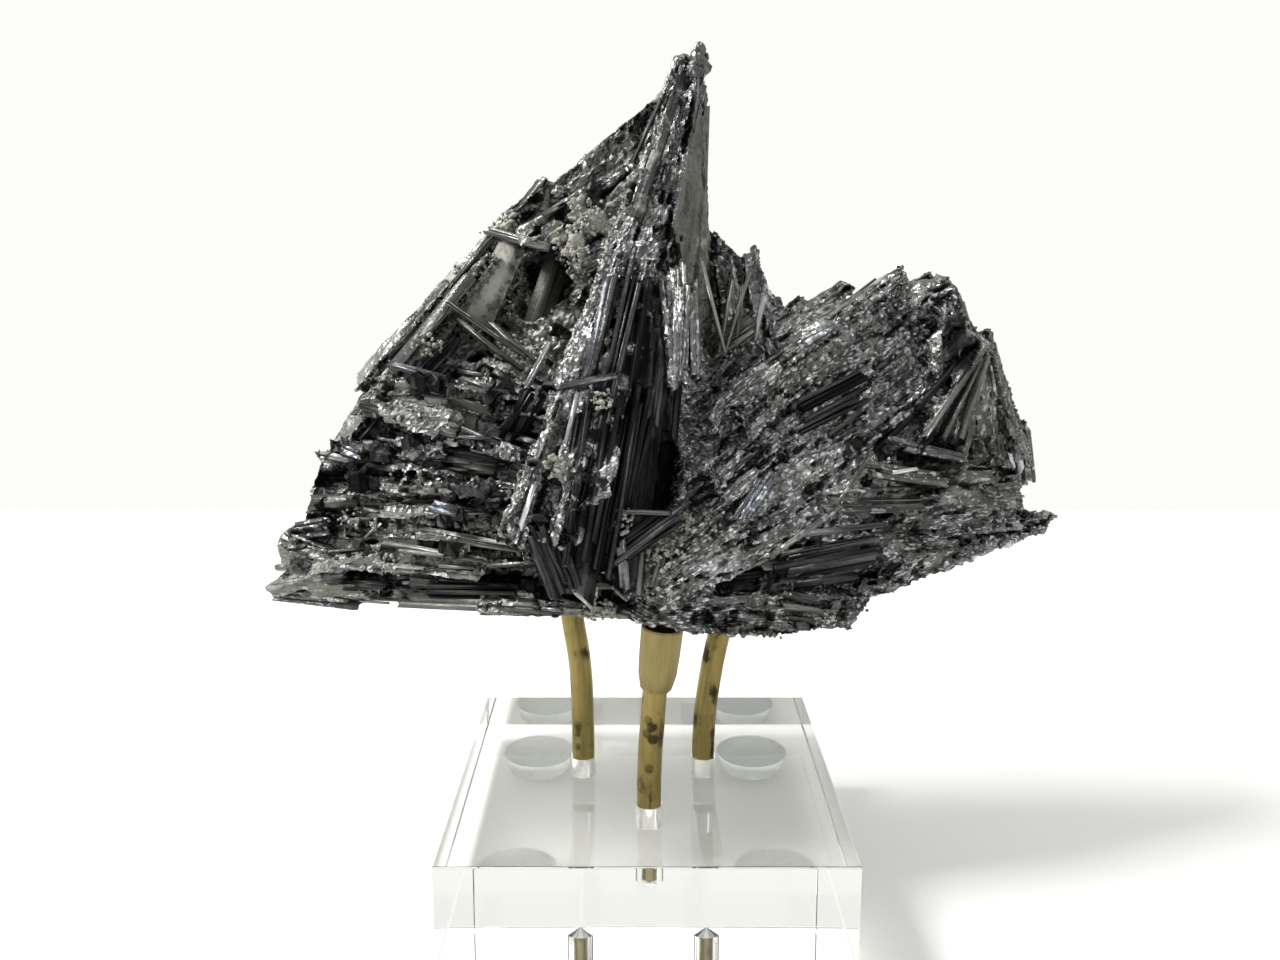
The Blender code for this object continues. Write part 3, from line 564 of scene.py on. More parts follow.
class Field:
    """The sheaves as a grid of points, which say how the crystals run at any place near them."""

    def __init__(self, sheaves):
        rows = []
        for number, plan in enumerate(sheaves.values()):
            (root_a, root_b), (tip_a, tip_b) = np.array(plan.roots) + SHIFT, np.array(plan.tips) + SHIFT
            for s in np.linspace(0, 1, FIELD_ACROSS):
                root, tip = root_a + (root_b - root_a) * s, tip_a + (tip_b - tip_a) * s
                for t in np.linspace(0, 1, FIELD_ALONG):
                    across = (root_b - root_a) * (1 - t) + (tip_b - tip_a) * t
                    along = tip - root
                    rows.append((*(root + along * t), *across, *along, *plan.facing, s, t, number))
        table = np.array(rows)
        self.points, self.across, self.along = table[:, 0:3], table[:, 3:6], table[:, 6:9]
        self.facing = unit(table[:, 9:12])
        self.s, self.t, self.number = table[:, 12], table[:, 13], table[:, 14].astype(int)
        ends = [[np.linalg.norm(np.subtract(*side)) for side in (p.roots, p.tips)] for p in sheaves.values()]
        self.width = np.array([max(NARROWEST, sum(pair) / 2) for pair in ends])[self.number]
        self.run = unit(self.along)

    def nearest(self, points, normals):
        """The field point that rules at each place: near it, and facing the same way."""
        found = []
        for first in range(0, len(points), FIELD_BATCH):
            here, out = points[first:first + FIELD_BATCH], normals[first:first + FIELD_BATCH]
            gap = (here ** 2).sum(1)[:, None] + (self.points ** 2).sum(1) - 2 * here @ self.points.T
            found.append(np.argmin(gap + TURN_COST ** 2 * (1 - out @ self.facing.T), axis=1))
        return np.concatenate(found)

    def local(self, points, rule):
        """Millimetres across and along the sheaf, and off its patch, at each place."""
        a, t, d = self.across[rule], self.along[rule], points - self.points[rule]
        aa, at, tt, da, dt = dots(a, a), dots(a, t), dots(t, t), dots(d, a), dots(d, t)
        spread = aa * tt - at * at
        s = self.s[rule] + (da * tt - dt * at) / spread
        share = self.t[rule] + (aa * dt - at * da) / spread
        off = dots(d, unit(np.cross(a, t)))
        return s * self.width[rule], share * np.sqrt(tt), off


def dice(a, b, c):
    """A fixed random share for each whole-number place."""
    a, b, c = (np.floor(k).astype(np.int64) for k in (a, b, c))
    mixed = (a * 73856093) ^ (b * 19349663) ^ (c * 83492791)
    mixed = (mixed ^ (mixed >> 13)) * 1274126177
    return ((mixed ^ (mixed >> 16)) & 0xFFFF) / 0xFFFF


def cloud(x, y, z, octaves=3):
    """Soft noise between -1 and 1, in numpy, at these places."""
    total, size, strength = 0, 1, 1
    for _ in range(octaves):
        place = [np.asarray(k) * size for k in (x, y, z)]
        floor = [np.floor(k) for k in place]
        fx, fy, fz = ((k - f) ** 2 * (3 - 2 * (k - f)) for k, f in zip(place, floor))
        value = 0
        for i in (0, 1):
            for j in (0, 1):
                for k in (0, 1):
                    share = (fx if i else 1 - fx) * (fy if j else 1 - fy) * (fz if k else 1 - fz)
                    value = value + share * dice(floor[0] + i, floor[1] + j, floor[2] + k)
        total = total + (value * 2 - 1) * strength
        size, strength = size * 2.07, strength * 0.55
    return total


def hollow_at(points):
    """How deep in a hollow each place is: 1 at the middle, 0 at the rim and below 0 outside."""
    deepest = np.full(len(points), -9.0)
    for middle, half, lean in HOLLOWS.values():
        turn = np.array(Matrix.Rotation(math.radians(lean), 3, "Y"))
        away = (points - middle - SHIFT) @ turn / half
        deepest = np.maximum(deepest, 1 - np.linalg.norm(away, axis=1))
    return deepest


def druse_at(points):
    """How thick the pale crust is at each place, from 0 to 1."""
    thick = np.zeros(len(points))
    for middle, reach, _ in DRUSE:
        away = np.linalg.norm(points - middle - SHIFT, axis=1) / reach
        thick = np.maximum(thick, np.exp(-away ** 2))
    return thick


field = Field(SHEAVES)
habit_of = [plan.habit for plan in SHEAVES.values()]

# The look of stibnite, which the matrix and every crystal on it share: dark metallic faces with fine
# lines along their run, in places olive or blue, and granular, or under a pale dull film. Painted
# highlights make the brightest faces and scattered glint spots bright silver.
stibnite = Finish("stibnite")
run = stibnite.node("ShaderNodeUVMap", {"uv_map": "run"})
tone, hue, film, grain = (
    stibnite.node("ShaderNodeAttribute", {"attribute_name": title}, output=2)
    for title in ("tone", "hue", "film", "grain")
)
lines = stibnite.noise(stibnite.stretched(run, (2.5, 0.045, 1)), 1, 5, 0.7)
broad = stibnite.noise(stibnite.stretched(run, (0.9, 0.07, 1)), 1, 2)
dust = stibnite.noise(stibnite.place(), 420, 5, 0.65)
facets = stibnite.cells(stibnite.place(), 1300)
# Painted glints: small scattered spots, where the grain is high, that are painted bright silver as
# highlights.
painted_glints = stibnite.cells(stibnite.stretched(run, (2.4, 1.1, 1)), 1, "Color").above(0.69, 0.77)
painted_glints = painted_glints * grain.above(0.4, 0.9)
marks = (lines - 0.5) * 1.5 + (broad - 0.5) * 0.6 + (dust - 0.5) * grain * 1.2
shade = (tone + marks * (tone * 0.7 + 0.35)).above(0.0, 1.0, "LINEAR")
face = stibnite.mix(shade * shade * 0.6 + shade * 0.4, (0.006, 0.0063, 0.0066), (0.42, 0.425, 0.42))
olive = (hue * -1).above(0.0, 1.0)
blue = hue.above(0.0, 1.0)
face = stibnite.mix(olive * (0.08 + tone * 0.8).above(0, 1, "LINEAR"), face, (0.105, 0.1, 0.078))
face = stibnite.mix(blue * tone * 0.7, face, (0.075, 0.09, 0.15))
# Painted highlight: where the tone is above 0.85, and at the glint spots, the face is painted bright silver.
face = stibnite.mix((tone.above(0.85, 1.1) + painted_glints * (tone + 0.3)).above(0, 1), face, (0.60, 0.615, 0.63))
pale = (film + dust * 0.9 - 0.5).above(0.32, 0.5)
stibnite.set(Base_Color=stibnite.mix(pale, face, (0.30, 0.30, 0.265)))
stibnite.set(Metallic=(1 - pale) * 0.9)
clean_rough = 0.2 + lines * 0.18 + olive * 0.2 + (1 - tone.above(0, 0.2)) * 0.3
stibnite.set(Roughness=clean_rough * (1 - pale) + pale * 0.8)
stibnite.set(Normal=stibnite.bump(lines + dust * 0.35 + facets * grain * 0.9, 0.00022, 0.95))

# The matrix: the CAD cluster with the fills joined to it, remeshed evenly and given the relief of its
# habits: fused laths at many depths, finely fluted along their run, with lumps, crumbs and open cracks.
# The sizes are in mm, and the last four set its tone, its hue (olive to blue), pale film and grain.
Relief = namedtuple("Relief", "flute lath wide long crack lump crumb tone hue film grain")
RELIEFS = {
    "fibrous": Relief(0.30, 0.60, 1.5, 20, 1.0, 0.7, 0.32, 0.46, -0.05, 0.05, 0.8),
    "smooth": Relief(0.10, 0.25, 5.0, 30, 0.3, 0.6, 0.14, 0.72, -0.6, 0.16, 0.5),
    "matte": Relief(0.20, 0.14, 3.0, 24, 0.15, 0.6, 0.22, 0.54, -0.8, 0.10, 0.5),
    "planar": Relief(0.26, 0.55, 2.2, 14, 1.3, 0.9, 0.26, 0.48, -0.55, 0.12, 0.7),
    "bladed": Relief(0.22, 0.90, 2.6, 16, 1.2, 0.6, 0.18, 0.64, -0.4, 0.12, 0.6),
    "dark": Relief(0.12, 0.70, 3.6, 38, 1.9, 0.3, 0.05, 0.14, 0.1, 0.0, 0.1),
    "bedded": Relief(0.20, 1.50, 2.2, 8.5, 2.4, 0.9, 0.30, 0.50, -0.25, 0.16, 0.5),
    "sparkling": Relief(0.24, 0.42, 1.4, 7, 0.7, 1.0, 0.48, 0.62, -0.3, 0.06, 1.0),
    "crumbly": Relief(0.12, 0.60, 2.0, 4.5, 1.0, 1.2, 0.60, 0.44, -0.3, 0.08, 1.0),
    "lumpy": Relief(0.10, 0.70, 2.0, 5.0, 1.4, 1.2, 0.50, 0.50, -0.3, 0.30, 0.4),
}
VOXEL = 0.5
SAME_PLACE = 0.002
PARTS = ("left", "middle", "right")
SMOOTH_HABITS = ("dark", "smooth")
SUNK = 0.45
CRACKED = 0.36


def crack_at(points, rule):
    """How far open a crack is at each place: 0 where there is none."""
    wide, long = np.array([RELIEFS[habit][2:4] for habit in habit_of])[field.number[rule]].T
    u, v, off = field.local(points, rule)
    gap = cloud(u / (wide * 0.8) + 31, v / (long * 0.7), field.number[rule] + off / 4, 2)
    return np.clip((gap - CRACKED) * 5, 0, 1.3)


def relief_at(points, rule):
    """How far the skin stands in or out at each place, and its tone (with painted shade in hollows, cracks
    and low relief), hue, film and grain.
    """
    number = field.number[rule]
    settings = np.array([RELIEFS[habit] for habit in habit_of])[number].T
    flute, lath, wide, long, crack, lump, crumb, tone, hue, film, grain = settings
    u, v, off = field.local(points, rule)
    x, y, z = points.T
    u = u + 0.9 * cloud(x * 0.09, y * 0.09, z * 0.09, 2) + number * 53.0
    column = np.floor(u / wide + 0.35 * np.sin(v * 0.17 + number))
    course = np.floor(v / long + 3 * dice(column, number, column * 0 + 5) + off * 0.22)
    height = lath * (dice(column, course, number) - 0.62) * 1.3
    height += flute * (1 - 2 * np.abs(cloud(u / 0.95, v / 15, off / 3 + number, 2)))
    height += lump * 0.6 * cloud(x / 6, y / 6, z / 6, 2)
    height += crumb * cloud(x / 0.9, y / 0.9, z / 0.9, 2)
    opened = crack_at(points, rule)
    deep = np.clip(hollow_at(points) * 4 + 0.6, 0, 1)
    tone = tone + 0.34 * (dice(column, course, number + 77) - 0.5) + 0.15 * cloud(x / 4, y / 4, z / 4, 2)
    # Painted shade: the tone is darker where the relief sinks and lighter where it stands out, and far darker
    # deep in hollows and in open cracks.
    tone = (tone + 0.12 * height) * (1 - deep * 0.9) * (1 - opened * 0.6)
    hue = hue + 0.35 * cloud(x / 9, y / 9, z / 9 + 40, 2)
    # The pale film is taken out of hollows and open cracks, which keeps them dark as part of the same painted
    # shade.
    film = (film + 0.3 * cloud(x / 7, y / 7, z / 7 + 9, 3)) * (1 - deep) * (1 - opened * 0.7)
    film = film + 0.7 * druse_at(points)
    return height - crack * opened - SUNK, (tone, hue, film, grain)


def coordinates(mesh):
    values = np.empty(len(mesh.vertices) * 3)
    mesh.vertices.foreach_get("co", values)
    return values.reshape(-1, 3) / MM


def vertex_normals(mesh):
    values = np.empty(len(mesh.vertices) * 3)
    mesh.vertex_normals.foreach_get("vector", values)
    return values.reshape(-1, 3)


def corner_vertices(mesh):
    values = np.empty(len(mesh.loops), np.int64)
    mesh.loops.foreach_get("vertex_index", values)
    return values.reshape(-1, 4)


def crystal_piece(name, points, faces, runs, looks):
    """A piece of stibnite, from points and corner runs in mm and a look for every point."""
    mesh = bpy.data.meshes.new(name)
    mesh.vertices.add(len(points))
    mesh.vertices.foreach_set("co", (points * MM).ravel())
    mesh.loops.add(faces.size)
    mesh.loops.foreach_set("vertex_index", faces.ravel())
    mesh.polygons.add(len(faces))
    mesh.polygons.foreach_set("loop_start", np.arange(0, faces.size, faces.shape[1]))
    mesh.update(calc_edges=True)
    mesh.uv_layers.new(name="run").data.foreach_set("uv", runs.ravel())
    for title, values in zip(("tone", "hue", "film", "grain"), looks):
        mesh.attributes.new(title, "FLOAT", "POINT").data.foreach_set("value", values)
    made = linked(name, mesh, stibnite)
    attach(made, "root")
    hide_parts("stibnite_cluster")
    return made


def cluster_solid():
    """The CAD cluster and the fills, as triangles."""
    solid = bmesh.new()
    solid.from_mesh(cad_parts["stibnite_cluster"].data)
    for middle, half, lean in FILLS.values():
        leaning = Matrix.Translation(placed(*middle)) @ Matrix.Rotation(math.radians(lean), 4, "Y")
        sized = Matrix.Diagonal((*(size * MM for size in half), 1))
        bmesh.ops.create_icosphere(solid, subdivisions=2, radius=1, matrix=leaning @ sized)
    bmesh.ops.remove_doubles(solid, verts=solid.verts, dist=SAME_PLACE * MM)
    bmesh.ops.triangulate(solid, faces=solid.faces)
    return solid


def remeshed(mesh):
    """The mesh as one skin of even squares."""
    even = bpy.data.objects.new("even", mesh)
    bpy.context.scene.collection.objects.link(even)
    remesh = even.modifiers.new("even", "REMESH")
    remesh.mode = "VOXEL"
    remesh.voxel_size = VOXEL * MM
    bpy.context.view_layer.update()
    made = bpy.data.meshes.new_from_object(even.evaluated_get(bpy.context.evaluated_depsgraph_get()))
    bpy.data.objects.remove(even)
    return made


def corner_runs(points, rule):
    """Where each corner lies across and along its sheaf, for the lines of the finish."""
    u, v, off = field.local(points, rule)
    return np.stack([u + off * 0.7 + field.number[rule] * 31, v], axis=1).reshape(-1, 4, 2)


solid = cluster_solid()
skin = np.array([[vert.co for vert in face.verts] for face in solid.faces]) / MM
mass = remeshed(mesh_from("even", solid))
places, outward, quads = coordinates(mass), vertex_normals(mass), corner_vertices(mass)
place_rule = field.nearest(places, outward)
quad_rule = place_rule[quads[:, 0]]
height, looks = relief_at(places, place_rule)
raised = places + outward * height[:, None]
runs = corner_runs(places[quads.ravel()], np.repeat(quad_rule, 4))
even_habit = np.array([habit in SMOOTH_HABITS for habit in habit_of])[field.number[quad_rule]]
part_of = np.argsort(np.argsort(places[quads[:, 0], 0])) * len(PARTS) // len(quads)
for part, side in enumerate(PARTS):
    mine = part_of == part
    used, renumbered = np.unique(quads[mine], return_inverse=True)
    matrix_part = crystal_piece(
        f"matrix_{side}", raised[used], renumbered.reshape(-1, 4), runs[mine], [look[used] for look in looks]
    )
    matrix_part.data.polygons.foreach_set("use_smooth", even_habit[mine])

# Blades: a few template crystals are ridged prisms with sloping, splintered ends. They are laid flush
# in the skin, the large ones first and then smaller ones in what is left, so that they fill the
# sheaves as grown crystals do, and none spans a hollow or a crack.
# Where a growth's tone range reaches above 0.85, some of its blades are painted bright silver as highlights.
Growth = namedtuple("Growth", "cover width length flat tilt lift tone")
GROWTHS = {
    "fibrous": [
        Growth(0.14, (1.4, 3.2), (12, 34), 0.5, 1.5, (-0.5, 0.2), (0.2, 0.5)),
        Growth(0.28, (0.6, 1.4), (5, 18), 0.7, 2.5, (-0.4, 0.2), (0.2, 0.7)),
        Growth(0.40, (0.3, 0.6), (2, 8), 0.8, 5, (-0.3, 0.2), (0.3, 1.0)),
    ],
    "smooth": [
        Growth(0.10, (1.2, 3.0), (8, 30), 0.3, 1.0, (-0.3, 0.0), (0.38, 0.6)),
        Growth(0.18, (0.4, 1.0), (4, 16), 0.5, 2.0, (-0.3, 0.1), (0.35, 0.8)),
    ],
    "matte": [
        Growth(0.06, (0.5, 1.2), (4, 16), 0.5, 2.0, (-0.35, 0.0), (0.35, 0.7)),
    ],
    "planar": [
        Growth(0.20, (1.2, 3.0), (6, 16), 0.35, 2.5, (-0.3, 0.15), (0.3, 0.6)),
        Growth(0.35, (0.4, 1.1), (2, 6), 0.6, 4, (-0.3, 0.2), (0.3, 0.9)),
    ],
    "bladed": [
        Growth(0.35, (2.0, 4.6), (10, 30), 0.35, 2.0, (-0.2, 0.6), (0.22, 0.55)),
        Growth(0.60, (0.8, 2.0), (5, 16), 0.5, 3.5, (-0.2, 0.6), (0.2, 0.7)),
        Growth(0.68, (0.35, 0.8), (2, 8), 0.7, 6, (0.0, 0.4), (0.3, 0.95)),
    ],
    "dark": [
        Growth(0.55, (2.6, 4.6), (18, 48), 0.4, 1.0, (-0.2, 0.7), (0.04, 0.22)),
        Growth(0.75, (0.9, 2.2), (8, 26), 0.5, 1.5, (-0.2, 0.5), (0.05, 0.35)),
    ],
    "bedded": [
        Growth(0.38, (1.6, 3.6), (4, 12), 0.45, 6, (-0.3, 0.9), (0.12, 0.45)),
        Growth(0.58, (0.7, 1.6), (3, 10), 0.6, 9, (-0.2, 1.1), (0.15, 0.7)),
        Growth(0.66, (0.3, 0.8), (1.5, 6), 0.7, 14, (0.0, 0.7), (0.3, 0.95)),
    ],
    "sparkling": [
        Growth(0.10, (1.4, 3.2), (6, 18), 0.4, 3.5, (-0.5, 0.0), (0.15, 0.5)),
        Growth(0.20, (0.6, 1.4), (3, 11), 0.6, 6, (-0.5, 0.1), (0.2, 0.6)),
        Growth(0.32, (0.3, 0.7), (1.2, 5), 0.8, 12, (-0.4, 0.1), (0.3, 1.05)),
    ],
    "crumbly": [
        Growth(0.18, (1.0, 2.2), (2.5, 8), 0.6, 12, (-0.2, 0.4), (0.2, 0.55)),
        Growth(0.45, (0.4, 1.1), (0.8, 3), 0.8, 35, (-0.1, 0.5), (0.25, 1.05)),
    ],
    "lumpy": [
        Growth(0.20, (1.0, 2.4), (4, 12), 0.5, 6, (-0.2, 0.5), (0.25, 0.6)),
        Growth(0.45, (0.4, 1.1), (1, 4), 0.8, 25, (-0.1, 0.5), (0.3, 0.8)),
    ],
}
# Each template's number of sides and how uneven its ridges are. Wide blades have one of the first
# and thin ones one of the last.
PRISMS = [
    (14, 0.05), (14, 0.07), (12, 0.06), (12, 0.08), (10, 0.08), (10, 0.1), (8, 0.1), (8, 0.12), (6, 0.1),
]
WIDE = 1.3
WIDE_KINDS, THIN_KINDS, STRAND_KINDS = (0, 6), (4, 9), (4, 8)
SQUARE = 3.2
SAMPLES = 60000
NEAR = 2.6
ALIKE = 0.45
FILLED = 0.55
OVERLAP = 0.3
ROUGH = 0.55
SHRINK = (1, 0.7, 0.48, 0.32)
SPLINTER = 1.6
END_SUPPORT = 0.46
LEAST_LEVEL = 0.35
TRIES, SPARE_TRIES = 2.2, 12
COVER_SLACK = 0.12
THINNEST = 0.5


def prism(sides, ridge):
    """A blade one unit wide and long: its points, how far each end point slopes, and its faces."""
    bm = bmesh.new()
    bmesh.ops.create_cone(
        bm, cap_ends=True, segments=sides, radius1=0.5, radius2=0.5 * rng.uniform(0.8, 1), depth=1
    )
    angles = np.sort(rng.uniform(-0.3, 0.3, sides) + np.arange(sides)) / sides * math.tau
    radii = (np.abs(np.cos(angles)) ** SQUARE + np.abs(np.sin(angles)) ** SQUARE) ** (-1 / SQUARE)
    radii *= 1 + rng.uniform(-ridge, ridge, sides)
    slopes = rng.uniform(-0.8, 0.8, 2)
    for vert in bm.verts:
        ring = round(math.atan2(vert.co.y, vert.co.x) / math.tau * sides) % sides
        turned = Vector((math.cos(angles[ring]), math.sin(angles[ring])))
        vert.co.xy = turned * radii[ring] * vert.co.xy.length
    bmesh.ops.triangulate(bm, faces=bm.faces)
    bm.verts.ensure_lookup_table()
    shape = np.array([vert.co for vert in bm.verts])
    slope = np.where(shape[:, 2] < 0, slopes[0], slopes[1])
    splinter = slope * shape[:, 0] + rng.uniform(-0.45, 0.45, len(shape))
    faces = np.array([[vert.index for vert in face.verts] for face in bm.faces])
    bm.free()
    return shape, splinter, faces


templates = [prism(*plan) for plan in PRISMS]


def stamp(name, blades):
    """One piece of many blades: each is (template, middle, along, out, sizes, look)."""
    points, faces, runs, looks, first = [], [], [], [], 0
    for number, (shape, splinter, triangles) in enumerate(templates):
        mine = [blade for blade in blades if blade[0] == number]
        if not mine:
            continue
        middle, along, out, sizes, look = (np.array([blade[k] for blade in mine]) for k in range(1, 6))
        width, thick, length = sizes.T[:, :, None]
        side = unit(np.cross(along, out))
        out = np.cross(side, along)
        x, y = shape[:, 0] * width, shape[:, 1] * thick
        z = shape[:, 2] * length + splinter * np.minimum(np.minimum(width, length * 0.4), SPLINTER)
        place = middle[:, None] + side[:, None] * x[..., None] + out[:, None] * y[..., None]
        points.append((place + along[:, None] * z[..., None]).reshape(-1, 3))
        corners = triangles[None] + np.arange(len(mine))[:, None, None] * len(shape)
        offset = rng.uniform(0, 400, (2, len(mine), 1))
        run_here = np.stack([x + 0.7 * y + offset[0], z + offset[1]], axis=2).reshape(-1, 2)
        runs.append(run_here[corners.reshape(-1, 3)])
        faces.append(corners.reshape(-1, 3) + first)
        looks.append(np.repeat(look, len(shape), axis=0))
        first += len(mine) * len(shape)
    return crystal_piece(
        name, np.concatenate(points), np.concatenate(faces), np.concatenate(runs), np.concatenate(looks).T
    )


crossed = np.cross(skin[:, 1] - skin[:, 0], skin[:, 2] - skin[:, 0])
areas = np.linalg.norm(crossed, axis=1) / 2
area_each = areas.sum() / SAMPLES
chosen = rng.choice(len(areas), SAMPLES, p=areas / areas.sum())
cuts = np.sort(rng.uniform(0, 1, (SAMPLES, 2)), axis=1)
weights = np.stack([cuts[:, 0], cuts[:, 1] - cuts[:, 0], 1 - cuts[:, 1]], axis=1)
ground = (skin[chosen] * weights[:, :, None]).sum(1)
outs = unit(crossed[chosen])
ruling = field.nearest(ground, outs)
taken = (hollow_at(ground) > 0) | (crack_at(ground, ruling) > 0.3)


def laid(here, normals, filled, start, along, width, length):
    """A blade laid flush round a point, shortened until it fits: middle, along, out, length, points."""
    for share in SHRINK:
        side = unit(np.cross(along, normals[start]))
        out = np.cross(side, along)
        away = here - here[start]
        u, v, h = away @ side, away @ along, away @ out
        under = (np.abs(v) < length * share / 2) & (np.abs(u) < width / 2) & (np.abs(h) < NEAR)
        under = np.flatnonzero(under & (normals @ out > ALIKE))
        if len(under) < max(3, FILLED * width * length * share / area_each):
            continue
        if filled[under].mean() > OVERLAP:
            continue
        v, h = v[under], h[under]
        if min(v.max(), -v.min()) < END_SUPPORT * length * share:
            continue
        pitch = ((v - v.mean()) * (h - h.mean())).sum() / max(((v - v.mean()) ** 2).sum(), 1e-6)
        if np.std(h - pitch * v) > ROUGH or abs(pitch) > 0.5:
            continue
        middle = here[start] + out * (h.mean() - pitch * v.mean())
        return middle, unit(along + out * pitch), unit(normals[under].mean(0)), length * share, under
    return None
